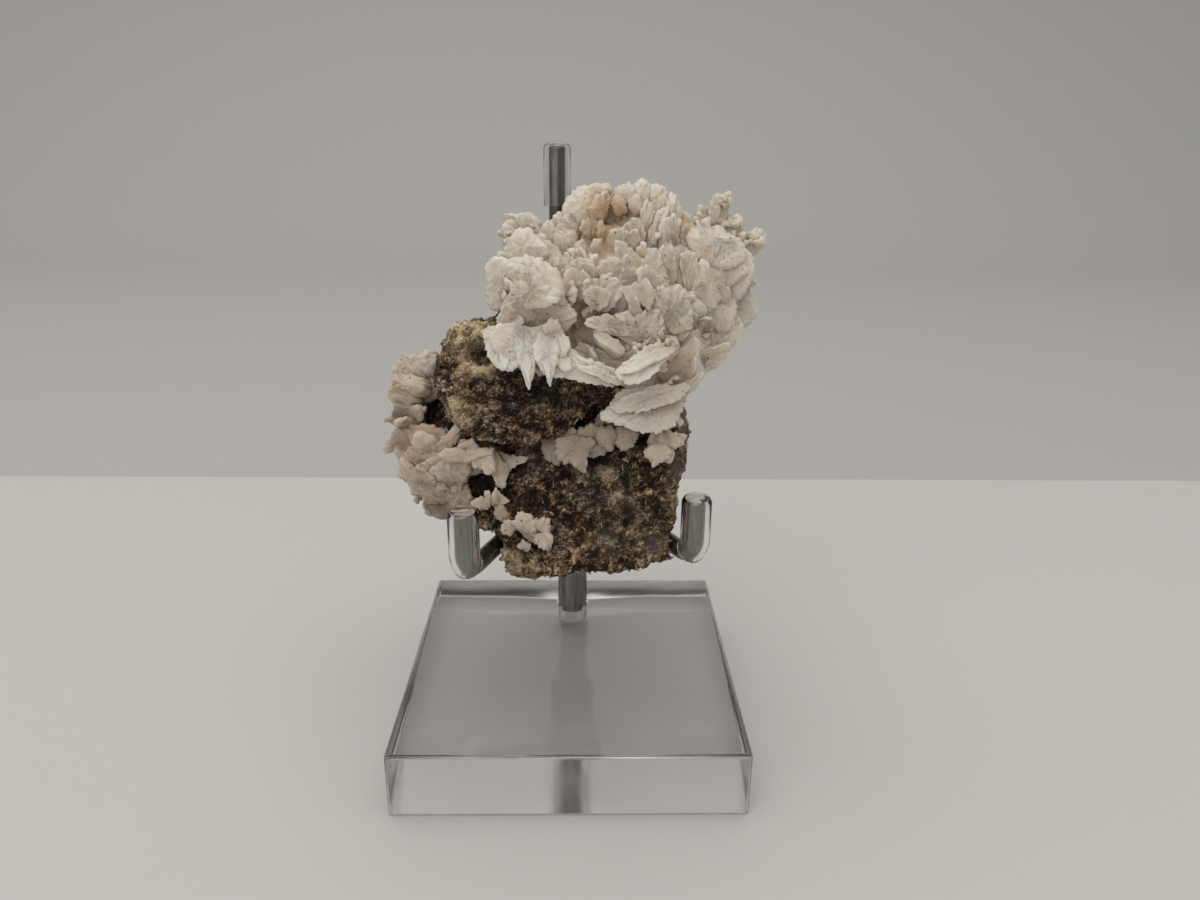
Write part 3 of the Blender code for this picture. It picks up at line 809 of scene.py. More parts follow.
def crumbs(draw, spots, size):
    """Small angular grains, one at each spot: their corners and faces."""
    ball = np.array([step for step in NEIGHBOURS if step.any()], dtype=float)
    ball = ball[np.abs(ball).sum(axis=1) != 2]
    ball /= np.linalg.norm(ball, axis=1, keepdims=True)
    corner_of = {tuple(np.round(corner * 9).astype(int)): k for k, corner in enumerate(ball)}
    faces = []
    for axis, sign in itertools.product(range(3), (1, -1)):
        pole = [0, 0, 0]
        pole[axis] = sign
        ring = []
        for a, b in ((1, 1), (-1, 1), (-1, -1), (1, -1)):
            corner = [0, 0, 0]
            corner[axis], corner[(axis + 1) % 3], corner[(axis + 2) % 3] = sign, a, b
            ring.append(corner_of[tuple(np.round(np.array(corner) / math.sqrt(3) * 9).astype(int))])
        top = corner_of[tuple(9 * v for v in pole)]
        for first, second in zip(ring, ring[1:] + ring[:1]):
            faces.append((top, first, second)[::sign])
    count = len(spots)
    scale = draw.uniform(*size, (count, 1, 1)) * draw.uniform(0.6, 1.4, (count, 1, 3))
    shapes = ball[None] * draw.uniform(0.75, 1.2, (count, len(ball), 1)) * scale
    places = spots[:, None] + np.einsum("nij,njk->nik", shapes, random_turns(draw, count))
    faces = np.array(faces)[None] + (np.arange(count) * len(ball))[:, None, None]
    return places.reshape(-1, 3), faces.reshape(-1, 3), len(ball)


def straws(draw, spots, normals, length, radius):
    """Bent, tapered needles that lie along the surface, one at each spot: their corners and faces."""
    count = len(spots)
    along = np.cross(normals, draw.normal(size=(count, 3)))
    along += 0.3 * normals * draw.uniform(-0.3, 1.2, (count, 1))
    along /= np.linalg.norm(along, axis=1, keepdims=True)
    side = np.cross(along, normals)
    side /= np.linalg.norm(side, axis=1, keepdims=True)
    up = np.cross(side, along)
    reach = draw.uniform(*length, (count, 1))
    bend = draw.uniform(-0.35, 0.35, (count, 1)) * reach
    thick = draw.uniform(*radius, (count, 1))
    rings = []
    for step, taper in ((-0.5, 0.5), (-0.2, 1.0), (0.15, 1.0), (0.5, 0.35)):
        middle = spots + normals * 0.12 + along * reach * step + side * bend * step * step * 2
        for angle in np.arange(4) * math.pi / 2:
            rings.append(middle + thick * taper * (side * math.cos(angle) + up * math.sin(angle)))
    places = np.stack(rings, axis=1)
    faces = [(3, 2, 1, 0), (12, 13, 14, 15)]
    for ring in range(3):
        for k in range(4):
            a, b = 4 * ring + k, 4 * ring + (k + 1) % 4
            faces.append((a, b, b + 4, a + 4))
    faces = np.array(faces)[None] + (np.arange(count) * 16)[:, None, None]
    return places.reshape(-1, 3), faces.reshape(-1, 4), 16


# Extra lumps of rock that close gaps: the middle and half sizes in millimetres
ROCK_LUMPS = (
    ((6.5, -6.5, 69.8), (7.5, 4.0, 3.2)), ((12.0, -3.5, 68.0), (6.0, 5.0, 3.4)),
    ((-14.6, -9.5, 49.5), (4.4, 5.0, 4.4)), ((-9.5, -14.5, 43.0), (3.6, 3.2, 2.6)),
)
ROCK_VOXEL = 0.46
# Loose-looking grains and needles on the rock: how many, and their sizes in millimetres
CRUMB_COUNT = 3600
CRUMB_SIZE = (0.12, 0.36)
STRAW_COUNT = 2600
STRAW_LENGTH = (0.5, 1.5)
STRAW_RADIUS = (0.05, 0.09)


def rock_mesh():
    """The CAD node's mesh with the extra lumps."""
    places, _ = corners_of(cad_mesh("matrix"))
    faces = faces_of(cad_mesh("matrix"))
    places = list(places)
    for middle, sizes in ROCK_LUMPS:
        start = len(places)
        ball, ball_faces, _ = crumbs(np.random.default_rng(3), np.zeros((1, 3)), (1.0, 1.0))
        places += list(np.array(middle) + ball * sizes)
        faces += [tuple(corner + start for corner in face) for face in ball_faces.tolist()]
    mesh = bpy.data.meshes.new("rock_mass")
    mesh.from_pydata((np.array(places) * MM).tolist(), [], faces)
    return mesh


def build_rock(material):
    places, normals, faces = remeshed(rock_mesh(), ROCK_VOXEL)
    ground = Ground(places, faces)
    coarse_near, coarse_number = grains(places, 1.5, 1)
    fine_near, fine_number = grains(places, 0.7, 2)
    beds = noise(places * (0.35, 0.35, 1.0), 1.5, 5)
    lumps = noise(places, 3.4, 3)
    ragged = np.abs(noise(places, 1.7, 8)) + 0.5 * np.abs(noise(places, 0.8, 9))
    pits = np.clip(noise(places, 1.5, 4) - 0.22, 0, 1)
    raised = 0.70 * (0.55 - coarse_near) * (0.3 + coarse_number)
    raised += 0.42 * (0.5 - fine_near) * (0.3 + fine_number)
    raised += 0.26 * beds + 0.30 * lumps - 1.3 * pits + 0.5 * (0.35 - ragged)
    raised -= creased(places, CREASES, ground)
    tan = seen_spots(places, TAN_SPOTS, ground)
    pale = seen_spots(places, PALE_SPOTS, ground)
    dark = seen_spots(places, RECESS_SHADE_SPOTS, ground)
    places = clear_of_stand(places + normals * (raised - 0.6 * dark - 0.15)[:, None])
    shade = 0.05 + 0.38 * fine_number + 0.16 * coarse_number
    # The last layer is painted shade in the rock's hollows and cavities
    layers = (
        ("height", raised), ("shade", shade), ("tone", tan), ("pale", 0.8 * pale), ("shade_and_grey", 0.85 * dark),
    )
    finish(new_object("rock", places, faces, material, layers), "limestone", "matrix")
    litter(material, places, normals, (raised, tan, pale, dark))


def litter(material, places, normals, layers):
    """Loose-looking grains and straws all over the rock."""
    draw = np.random.default_rng(12)
    raised, tan, pale, dark = layers
    kinds = (("rock_crumbs", CRUMB_COUNT, 0.12, 0.70), ("rock_straws", STRAW_COUNT, 0.3, 0.85))
    for name, count, low, high in kinds:
        at = draw.integers(len(places), size=count)
        if name == "rock_straws":
            wanted = draw.uniform(size=count) < 0.35 + 0.65 * (noise(places[at], 6.0, 17) > -0.05)
            at = at[wanted & (tan[at] < 0.6)]
            corners, faces, each = straws(draw, places[at], normals[at], STRAW_LENGTH, STRAW_RADIUS)
        else:
            corners, faces, each = crumbs(draw, places[at] + 0.05 * normals[at], CRUMB_SIZE)
        corners = clear_of_stand(corners)
        # Crumbs in the shaded hollows are darker: painted shade
        shade = draw.uniform(low, high, len(at)) * (1 - 0.5 * dark[at])
        layers = (
            ("height", np.repeat(0.6 * raised[at], each)), ("shade", np.repeat(shade, each)),
            ("tone", np.repeat(np.maximum(tan[at], 0.45 * (name == "rock_straws")), each)),
            ("pale", np.repeat(0.8 * pale[at], each)), ("shade_and_grey", np.repeat(0.6 * dark[at], each)),
        )
        grit = new_object(name, corners, faces.tolist(), material, layers, smooth=False)
        finish(grit, "limestone", "matrix")


# Upper rosette

ROSETTE_MIDDLE = np.array((9.4, 4.0, 84.0))
# Where the calcite is peach, as the photograph's pixel, a radius in millimetres and a strength
PEACH_SPOTS = (
    (616, 212, 3.4, 1.0), (600, 205, 3.0, 0.7), (598, 232, 3.0, 0.75), (604, 248, 2.6, 0.6),
    (586, 240, 2.4, 0.5), (684, 228, 2.4, 1.0), (700, 256, 2.0, 0.5), (632, 272, 2.2, 0.55),
    (568, 292, 2.4, 0.8), (590, 300, 3.4, 0.45), (582, 322, 2.4, 0.8), (604, 348, 2.4, 0.4),
    (680, 362, 3.6, 0.5), (514, 321, 1.4, 0.5), (640, 302, 2.2, 0.3), (574, 222, 1.8, 0.4),
    (528, 234, 2.6, 0.15), (655, 392, 3.0, 0.3), (540, 318, 3.0, 0.2),
)
# Where painted shade makes it darker and greyer, likewise
PAINTED_SHADE_SPOTS = (
    (650, 412, 5.0, 0.40), (600, 380, 4.6, 0.26), (672, 366, 3.0, 0.42), (585, 350, 4.0, 0.14),
    (540, 322, 3.6, 0.12), (716, 300, 6.0, 0.10), (640, 330, 5.0, 0.08),
)
# Where the solid mass is hollowed, likewise
HOLLOWS = (
    (614, 211, 2.8, 1.0), (600, 214, 1.6, 0.4), (570, 294, 1.8, 0.5), (584, 322, 2.2, 0.5),
    (687, 232, 1.8, 0.5), (596, 250, 1.8, 0.35), (676, 366, 2.4, 0.35), (560, 254, 1.4, 0.3),
)
HOLLOW_DEPTH = 4.2
ROSETTE_SHRINK = 0.9
# Above this height the front of the mass has no small plates
CROWN_Z = 96.0
# Above this one its back has small plates only
CROWN_BACK_Z = 101.0
# Places this far behind something get no small plates, and places this far back get larger ones
COVER_DEPTH = 1.5
BACK_DEPTH = 4.0
# Each plate has its lift off the core in millimetres, how far it leans up and turns right in degrees, its
# bulge, thickness and rib height, and its outline in the photograph's pixels, from the root round the rim
LEFT_PLATES = {
    "crown_back": (0.2, -15, -20, 0.4, 1.3, 0.11, (
        (532, 246), (506, 240), (504, 223), (512, 218), (521, 214), (528, 212), (534, 215),
        (538, 225), (545, 236))),
    "crown_front": (0.8, 4, -15, 0.6, 1.4, 0.14, (
        (532, 268), (504, 256), (506, 246), (512, 236), (516, 230), (527, 227), (534, 232),
        (542, 240), (548, 254))),
    "crown_left_edge": (1.2, 0, -35, -0.1, 0.6, 0.09, (
        (515, 262), (502, 258), (503, 250), (509, 241), (513, 238), (515, 248))),
    "crown_shelf": (1.0, 20, 10, -0.3, 0.8, 0.09, (
        (556, 266), (530, 256), (534, 244), (542, 240), (552, 243), (560, 250), (563, 260))),
    "saddle": (0.2, 0, 0, 0.7, 1.3, 0.06, (
        (549, 250), (541, 238), (542, 226), (547, 221), (553, 224), (556, 238))),
    "side_left": (1.4, -14, -22, 0.2, 1.5, 0.07, (
        (507, 312), (492, 310), (488, 298), (487, 280), (486, 266), (491, 260), (498, 255),
        (505, 259), (514, 263), (521, 270), (518, 284), (513, 300))),
    "block_top": (2.6, 38, 14, 0.2, 1.4, 0.14, (
        (560, 298), (532, 288), (521, 268), (524, 257), (530, 255), (537, 259), (549, 264),
        (560, 272), (568, 287))),
    "block_face": (3.4, 8, -26, 0.3, 1.5, 0.25, (
        (520, 306), (504, 303), (508, 290), (512, 283), (518, 279), (520, 270), (528, 268),
        (537, 277), (548, 286), (561, 292), (558, 302), (540, 306))),
    "block_ridge": (3.9, 20, 4, -0.2, 0.5, 0.11, (
        (566, 300), (548, 296), (532, 283), (529, 272), (540, 279), (552, 288), (566, 294))),
    "block_under": (2.6, -30, 0, -0.3, 1.2, 0.14, (
        (530, 334), (500, 326), (499, 312), (507, 303), (524, 300), (545, 303), (566, 304),
        (576, 312), (575, 324), (560, 334))),
    "left_strip": (3.4, 10, -20, -0.1, 0.6, 0.06, (
        (501, 330), (498, 318), (502, 304), (508, 300), (507, 314), (506, 328))),
    "knob_left": (1.2, 12, 0, 1.3, 1.3, 0.17, (
        (566, 254), (553, 241), (553, 234), (558, 229), (566, 228), (577, 229), (580, 236), (576, 247))),
}
WHORL_PLATES = {
    "whorl_left_low": (0.6, 0, -15, 0.8, 1.2, 0.19, (
        (562, 236), (553, 227), (554, 217), (559, 212), (565, 214), (567, 226))),
    "whorl_left": (1.6, -8, -5, 0.7, 1.3, 0.19, (
        (572, 240), (559, 229), (559, 220), (566, 215), (576, 214), (583, 218), (584, 230))),
    "whorl_shoulder": (1.3, 5, 10, 0.6, 1.1, 0.19, (
        (588, 238), (580, 230), (582, 221), (589, 218), (595, 224), (595, 234))),
    "dome": (0.6, 22, -12, 1.4, 2.4, 0.08, (
        (592, 226), (572, 220), (563, 212), (565, 204), (573, 194), (584, 188), (600, 185),
        (610, 186), (613, 191), (606, 198), (598, 208))),
    "dome_lip": (1.0, -6, 25, 0.5, 1.3, 0.18, (
        (600, 226), (590, 216), (592, 202), (600, 194), (608, 192), (611, 200), (607, 214))),
    "rim_1": (0.2, 14, -6, 0.8, 1.8, 0.14, (
        (620, 212), (613, 200), (615, 190), (621, 185), (629, 182), (635, 187), (634, 200))),
    "rim_2": (0.3, 14, 0, 0.9, 1.8, 0.14, (
        (638, 212), (632, 198), (634, 187), (641, 181), (648, 183), (651, 192), (647, 204))),
    "rim_3": (0.4, 14, 6, 0.9, 1.8, 0.15, (
        (652, 220), (648, 202), (649, 189), (655, 184), (661, 185), (667, 192), (668, 206))),
    "rim_4": (0.6, 10, 14, 1.0, 1.8, 0.18, (
        (664, 238), (663, 212), (665, 199), (671, 194), (677, 198), (681, 210), (678, 228))),
    "rim_5": (0.3, 5, 25, 0.6, 1.3, 0.16, (
        (680, 244), (678, 226), (680, 214), (684, 211), (688, 218), (690, 230), (687, 240))),
    "hollow_knob_1": (0.3, 10, 0, 1.0, 1.1, 0.08, (
        (618, 216), (611, 208), (612, 200), (618, 197), (625, 199), (627, 206), (624, 213))),
    "hollow_knob_2": (0.9, 12, 0, 1.0, 1.3, 0.08, (
        (636, 216), (630, 208), (631, 199), (636, 195), (641, 199), (641, 210))),
    "ray_1": (1.5, 16, 2, 0.6, 1.4, 0.19, (
        (644, 232), (640, 216), (641, 206), (647, 202), (652, 206), (652, 220))),
    "ray_2": (2.2, 12, 8, 0.6, 1.4, 0.23, (
        (650, 246), (648, 236), (652, 222), (660, 209), (667, 206), (668, 216), (659, 232))),
    "ray_3": (2.6, 4, 10, 0.6, 1.2, 0.23, (
        (662, 250), (659, 236), (661, 222), (665, 216), (669, 222), (668, 238))),
    "ray_4": (1.8, -4, 20, 0.5, 1.1, 0.23, (
        (673, 252), (667, 240), (668, 224), (673, 214), (678, 220), (680, 238))),
    "arc_back": (2.0, -16, -4, -0.2, 0.8, 0.13, (
        (632, 248), (620, 238), (622, 228), (627, 221), (634, 217), (641, 219), (645, 228), (644, 242))),
    "arc_left": (2.4, -14, -14, -0.2, 0.7, 0.13, (
        (616, 254), (608, 244), (609, 235), (613, 229), (620, 227), (624, 232), (624, 246))),
    "arc_disc": (3.0, -14, 4, -0.3, 0.7, 0.13, (
        (631, 250), (623, 242), (624, 234), (630, 230), (636, 231), (639, 238), (638, 246))),
    "vertical_1": (0.9, 0, 10, 0.6, 1.0, 0.13, (
        (601, 242), (597, 234), (598, 224), (602, 220), (605, 226), (605, 236))),
    "vertical_2": (0.6, 0, -10, 0.6, 1.0, 0.13, (
        (592, 240), (588, 228), (590, 214), (594, 208), (598, 216), (598, 232))),
    "bead_1": (1.6, 5, -5, 0.6, 1.0, 0.13, (
        (581, 258), (575, 250), (577, 242), (581, 239), (586, 243), (587, 252))),
    "bead_2": (2.0, 5, 0, 0.8, 1.1, 0.19, (
        (596, 256), (590, 249), (592, 242), (597, 239), (602, 244), (601, 252))),
}
MIDDLE_PLATES = {
    "half_disc_left": (2.8, -12, -4, -0.2, 0.8, 0.09, (
        (584, 284), (567, 276), (567, 268), (573, 261), (582, 257), (591, 260), (598, 268), (598, 278))),
    "half_disc_inner": (3.5, -4, 4, -0.3, 0.6, 0.09, (
        (587, 280), (578, 274), (578, 266), (583, 262), (591, 263), (595, 270), (594, 277))),
    "half_disc_right": (2.7, -10, 6, -0.3, 0.8, 0.11, (
        (612, 284), (600, 277), (600, 267), (605, 259), (611, 257), (619, 259), (626, 263), (626, 276))),
    "field_left": (3.7, -4, -6, -0.2, 0.8, 0.17, (
        (578, 302), (566, 292), (564, 278), (566, 270), (577, 269), (588, 274), (592, 288))),
    "field_middle": (4.3, 0, 4, -0.2, 0.8, 0.26, (
        (602, 310), (584, 298), (583, 284), (590, 277), (600, 279), (610, 276), (620, 280),
        (624, 290), (616, 304))),
    "field_fine": (5.0, 8, 0, -0.1, 0.5, 0.26, (
        (596, 306), (584, 300), (586, 290), (594, 286), (604, 288), (610, 294), (606, 304))),
    "field_right": (2.6, -8, 10, -0.3, 0.8, 0.14, (
        (630, 292), (620, 284), (620, 272), (628, 267), (637, 271), (642, 280), (638, 290))),
    "saw_ridge": (4.1, 16, 20, -0.2, 0.7, 0.11, (
        (632, 266), (620, 256), (614, 247), (616, 241), (622, 240), (629, 246), (638, 251),
        (645, 260), (642, 268))),
    "saw_ridge_low": (4.5, 10, 24, -0.2, 0.6, 0.11, (
        (638, 276), (628, 266), (624, 256), (629, 254), (635, 259), (642, 269), (644, 276))),
    "saw_knob": (3.4, 8, 0, 0.6, 1.0, 0.09, (
        (643, 260), (637, 252), (639, 246), (643, 242), (647, 247), (649, 256))),
    "slant": (3.6, 10, 16, -0.2, 0.8, 0.17, (
        (654, 290), (645, 276), (642, 262), (647, 251), (654, 248), (660, 254), (665, 266),
        (671, 282), (666, 290))),
    "slant_low": (4.6, -6, 18, -0.2, 0.7, 0.14, (
        (650, 296), (640, 282), (640, 269), (647, 266), (656, 272), (664, 279), (670, 288), (662, 297))),
    "column_1": (3.8, -8, 6, -0.2, 0.9, 0.20, (
        (672, 292), (664, 272), (658, 258), (660, 247), (666, 242), (672, 243), (676, 254), (678, 276))),
    "column_2": (3.3, -6, 10, -0.2, 0.8, 0.24, (
        (682, 290), (675, 268), (673, 252), (677, 245), (681, 248), (684, 260), (686, 280))),
    "column_3": (3.2, -8, 12, -0.3, 0.9, 0.20, (
        (690, 296), (683, 276), (680, 258), (685, 251), (692, 250), (697, 258), (698, 280))),
    "finger_left": (4.2, 10, -6, -0.3, 0.7, 0.14, (
        (634, 304), (624, 296), (622, 289), (628, 284), (636, 283), (642, 290), (641, 300))),
    "finger_middle": (4.8, 14, -4, -0.3, 0.7, 0.11, (
        (646, 304), (640, 294), (640, 284), (645, 278), (650, 284), (653, 294), (652, 303))),
    "lobed_top": (4.2, -6, 4, -0.3, 0.9, 0.26, (
        (668, 332), (650, 316), (648, 302), (652, 292), (659, 285), (667, 286), (676, 283),
        (684, 289), (689, 299), (693, 314), (690, 330))),
    "lobed_second": (4.9, -6, 6, -0.2, 0.7, 0.21, (
        (674, 344), (660, 334), (657, 320), (663, 312), (671, 306), (680, 303), (690, 303),
        (694, 312), (692, 328), (684, 340))),
    "bowl_rim": (4.3, -8, -20, -0.1, 0.5, 0.09, (
        (636, 320), (627, 314), (628, 305), (632, 299), (637, 297), (639, 306), (640, 316))),
    "jagged": (4.7, -10, -2, -0.2, 0.7, 0.24, (
        (640, 350), (616, 338), (608, 326), (613, 317), (621, 313), (629, 311), (634, 316),
        (641, 312), (650, 308), (659, 311), (664, 320), (663, 338), (654, 348))),
    "lip": (5.2, -4, -10, -0.2, 0.8, 0.14, (
        (616, 336), (594, 330), (586, 325), (587, 319), (595, 316), (605, 313), (614, 316),
        (624, 324), (628, 334))),
    "bar": (5.6, 42, -4, -0.1, 0.5, 0.09, (
        (622, 343), (606, 341), (596, 337), (594, 332), (600, 329), (610, 332), (620, 336), (625, 340))),
    "bar_below": (4.6, -12, -8, -0.2, 0.8, 0.14, (
        (620, 358), (604, 352), (594, 342), (597, 335), (612, 339), (624, 342), (629, 350), (629, 358))),
    "middle_face": (3.4, -4, -8, -0.2, 0.9, 0.21, (
        (612, 372), (590, 366), (574, 360), (570, 350), (580, 344), (594, 348), (608, 354),
        (622, 360), (622, 370))),
}
RIGHT_PLATES = {
    "shield": (3.0, -6, 16, 0.3, 1.1, 0.10, (
        (706, 312), (695, 294), (694, 272), (698, 262), (704, 260), (709, 265), (714, 280),
        (721, 292), (719, 306))),
    "shield_back": (1.8, -6, 14, 0.3, 1.0, 0.10, (
        (720, 304), (708, 286), (708, 270), (714, 265), (721, 268), (726, 280), (732, 298))),
    "recess_right": (-0.4, -10, 15, -0.1, 0.9, 0.15, (
        (696, 262), (682, 250), (680, 236), (683, 226), (690, 222), (700, 230), (706, 250))),
    "right_crest": (0.8, 28, 10, 0.5, 1.4, 0.16, (
        (712, 266), (696, 256), (687, 242), (689, 231), (698, 224), (710, 226), (722, 231),
        (735, 237), (746, 247), (744, 260), (730, 268))),
    "right_crest_front": (1.6, 10, 14, 0.3, 1.0, 0.12, (
        (722, 286), (704, 266), (700, 252), (706, 243), (718, 240), (732, 243), (744, 252),
        (748, 266), (740, 280))),
    "right_fill": (0.7, -2, 18, 0.4, 1.4, 0.10, (
        (718, 352), (704, 334), (702, 312), (712, 296), (728, 292), (746, 298), (752, 312),
        (744, 330), (732, 346))),
    "spike_tall": (0.2, 0, 15, 0.5, 1.2, 0.10, (
        (714, 236), (706, 226), (710, 210), (712, 198), (716, 194), (722, 194), (729, 191),
        (732, 194), (731, 204), (726, 218), (724, 234))),
    "spike_tall_left": (0.9, 6, -5, 0.3, 1.1, 0.15, (
        (713, 226), (709, 216), (712, 200), (716, 195), (720, 200), (720, 216))),
    "spike_middle": (0.0, 8, 18, 0.5, 1.2, 0.10, (
        (724, 246), (720, 234), (724, 222), (732, 216), (739, 214), (743, 219), (742, 232), (737, 244))),
    "spike_right": (0.0, 2, 18, 0.3, 1.2, 0.12, (
        (740, 264), (741, 248), (746, 237), (752, 230), (758, 227), (763, 231), (767, 239),
        (764, 248), (754, 257))),
    "right_high": (1.4, 10, 14, 0.6, 1.5, 0.10, (
        (730, 300), (712, 284), (716, 270), (726, 256), (740, 250), (750, 254), (754, 266),
        (750, 284), (742, 298))),
    "right_middle": (2.2, 2, 14, 0.5, 1.4, 0.09, (
        (716, 330), (700, 312), (698, 296), (704, 284), (716, 282), (728, 288), (736, 300),
        (736, 318), (728, 330))),
    "right_outer": (1.2, 4, 22, 0.5, 1.3, 0.10, (
        (732, 334), (724, 314), (727, 294), (735, 280), (745, 274), (750, 282), (750, 292),
        (756, 304), (758, 316), (748, 326))),
    "right_low": (1.6, -8, 16, 0.5, 1.3, 0.09, (
        (706, 362), (696, 346), (695, 328), (704, 316), (718, 312), (732, 316), (743, 322),
        (741, 336), (732, 350), (720, 360))),
    "right_under": (0.2, -32, 15, -0.1, 0.8, 0.12, (
        (702, 358), (692, 372), (694, 360), (704, 350), (718, 345), (730, 343), (728, 356),
        (718, 366), (708, 372))),
    "small_disc": (3.8, -4, 14, -0.1, 0.5, 0.10, (
        (701, 292), (697, 287), (698, 282), (702, 280), (706, 283), (707, 290))),
}
SKIRT_PLATES = {
    "leaf": (6.2, 14, -4, -0.2, 0.6, 0.10, (
        (679, 337), (664, 336), (650, 342), (636, 351), (624, 362), (615, 371), (618, 379),
        (626, 384), (636, 383), (647, 376), (656, 368), (666, 357), (673, 348))),
    "leaf_fold": (6.6, 24, -10, -0.1, 0.4, 0.10, (
        (676, 338), (662, 340), (646, 350), (632, 360), (621, 371), (628, 374), (644, 364),
        (660, 354), (670, 346))),
    "leaf_disc": (5.2, -4, 8, -0.1, 0.5, 0.06, (
        (656, 372), (651, 365), (655, 359), (663, 358), (668, 363), (666, 370), (660, 373))),
    "sliver_1": (4.6, 20, 10, -0.0, 0.5, 0.03, (
        (661, 360), (664, 353), (671, 348), (679, 346), (675, 352), (667, 358))),
    "sliver_2": (4.0, 20, 10, -0.0, 0.5, 0.03, (
        (681, 344), (684, 339), (691, 333), (698, 330), (693, 337), (686, 343))),
    "sliver_3": (4.6, 10, -20, -0.0, 0.5, 0.03, (
        (682, 380), (684, 370), (690, 363), (696, 358), (695, 366), (690, 376))),
    "recess": (2.4, -10, 8, -0.1, 0.8, 0.08, (
        (668, 388), (660, 376), (664, 362), (676, 350), (690, 340), (699, 342), (698, 356),
        (690, 372), (680, 386))),
    "sheet_left": (5.4, -14, -8, -0.1, 0.6, 0.10, (
        (626, 387), (608, 374), (590, 367), (572, 366), (557, 373), (552, 381), (560, 391),
        (575, 399), (590, 396), (606, 393), (618, 392))),
    "sheet_upper": (6.2, -6, -10, -0.1, 0.6, 0.09, (
        (624, 381), (610, 367), (594, 360), (580, 361), (570, 368), (564, 377), (578, 382),
        (594, 384), (612, 387))),
    "sheet_fold": (6.8, 10, -12, -0.1, 0.4, 0.07, (
        (622, 378), (608, 370), (592, 365), (577, 366), (582, 371), (598, 376), (612, 381))),
    "skirt": (2.8, 2, 0, 0.2, 1.0, 0.13, (
        (687, 388), (668, 385), (650, 386), (634, 388), (620, 392), (612, 400), (604, 410),
        (601, 420), (614, 423), (628, 428), (640, 433), (652, 434), (664, 431), (674, 426),
        (681, 414), (685, 400))),
    "skirt_upper": (4.0, 8, -6, -0.1, 0.6, 0.13, (
        (692, 382), (670, 383), (652, 386), (636, 391), (622, 397), (611, 406), (616, 413),
        (634, 412), (652, 409), (670, 403), (684, 394))),
    "skirt_low": (3.4, -4, 6, -0.1, 0.6, 0.11, (
        (690, 392), (672, 400), (656, 410), (642, 420), (638, 429), (650, 432), (664, 429),
        (676, 420), (684, 406))),
    "skirt_wing": (5.0, 20, 4, -0.2, 0.6, 0.12, (
        (652, 404), (656, 394), (666, 387), (677, 382), (686, 377), (698, 372), (704, 375),
        (696, 383), (684, 391), (672, 398), (662, 403))),
    "skirt_wing_fold": (5.5, 30, 0, -0.1, 0.4, 0.10, (
        (656, 400), (664, 391), (678, 384), (692, 376), (700, 374), (688, 385), (672, 394))),
}
FINGER_PLATES = {
    "finger_bed": (3.0, 10, -4, 0.4, 1.6, 0.08, (
        (530, 324), (552, 323), (566, 336), (570, 348), (562, 358), (548, 360), (536, 362),
        (520, 362), (506, 360), (494, 350), (488, 336), (496, 326), (512, 322))),
    "finger_left": (4.0, 8, -16, 0.3, 1.2, 0.14, (
        (502, 325), (490, 323), (481, 328), (483, 342), (489, 358), (499, 370), (509, 372),
        (518, 368), (519, 348), (513, 332))),
    "finger_left_rib": (4.7, 10, -8, 0.2, 0.8, 0.10, (
        (504, 326), (498, 330), (497, 346), (500, 362), (505, 370), (509, 360), (510, 342), (508, 330))),
    "finger_spike_1": (5.0, 10, -2, 0.3, 1.2, 0.14, (
        (523, 324), (514, 326), (512, 344), (516, 360), (522, 371), (528, 390), (532, 378),
        (536, 362), (534, 344), (530, 330))),
    "finger_spike_1_rib": (5.6, 14, 6, 0.2, 0.8, 0.08, (
        (524, 328), (520, 338), (521, 356), (525, 372), (529, 384), (531, 370), (531, 350), (529, 336))),
    "finger_spike_2": (5.2, 12, 2, 0.3, 1.2, 0.14, (
        (551, 320), (541, 325), (534, 338), (533, 354), (538, 366), (545, 377), (550, 388),
        (553, 376), (557, 360), (560, 342), (560, 326))),
    "finger_spike_2_rib": (5.9, 16, -4, 0.2, 0.8, 0.08, (
        (546, 328), (540, 338), (539, 354), (544, 370), (549, 382), (550, 368), (550, 350), (550, 336))),
    "finger_knob": (5.6, 20, 6, 0.4, 1.2, 0.08, (
        (552, 338), (545, 330), (546, 322), (552, 319), (560, 323), (562, 332), (558, 338))),
    "finger_right": (4.4, 10, 14, 0.3, 1.0, 0.14, (
        (548, 330), (546, 348), (550, 364), (554, 377), (561, 379), (568, 373), (577, 369),
        (587, 364), (580, 356), (571, 346), (561, 334))),
    "finger_right_rib": (5.1, 14, 20, 0.2, 0.7, 0.10, (
        (552, 334), (552, 350), (558, 366), (566, 372), (573, 365), (568, 352), (560, 340))),
}
# How far off another surface crowds a place, and how much warmer and darker that makes it, as painted
# shade in the crevices
CREVICE_REACH = 2.6
CREVICE_WARM_SHADE = 0.48
CREVICE_SHADE = 0.12
# The plates of each piece and how ragged their rims are
CLUSTERS = (
    ("left", LEFT_PLATES, 0.22), ("whorl", WHORL_PLATES, 0.24), ("middle", MIDDLE_PLATES, 0.24),
    ("right", RIGHT_PLATES, 0.20), ("skirt", SKIRT_PLATES, 0.34), ("fingers", FINGER_PLATES, 0.22),
)
# Scattered plates start this far under the surface
SPROUT_DEPTH = 1.2


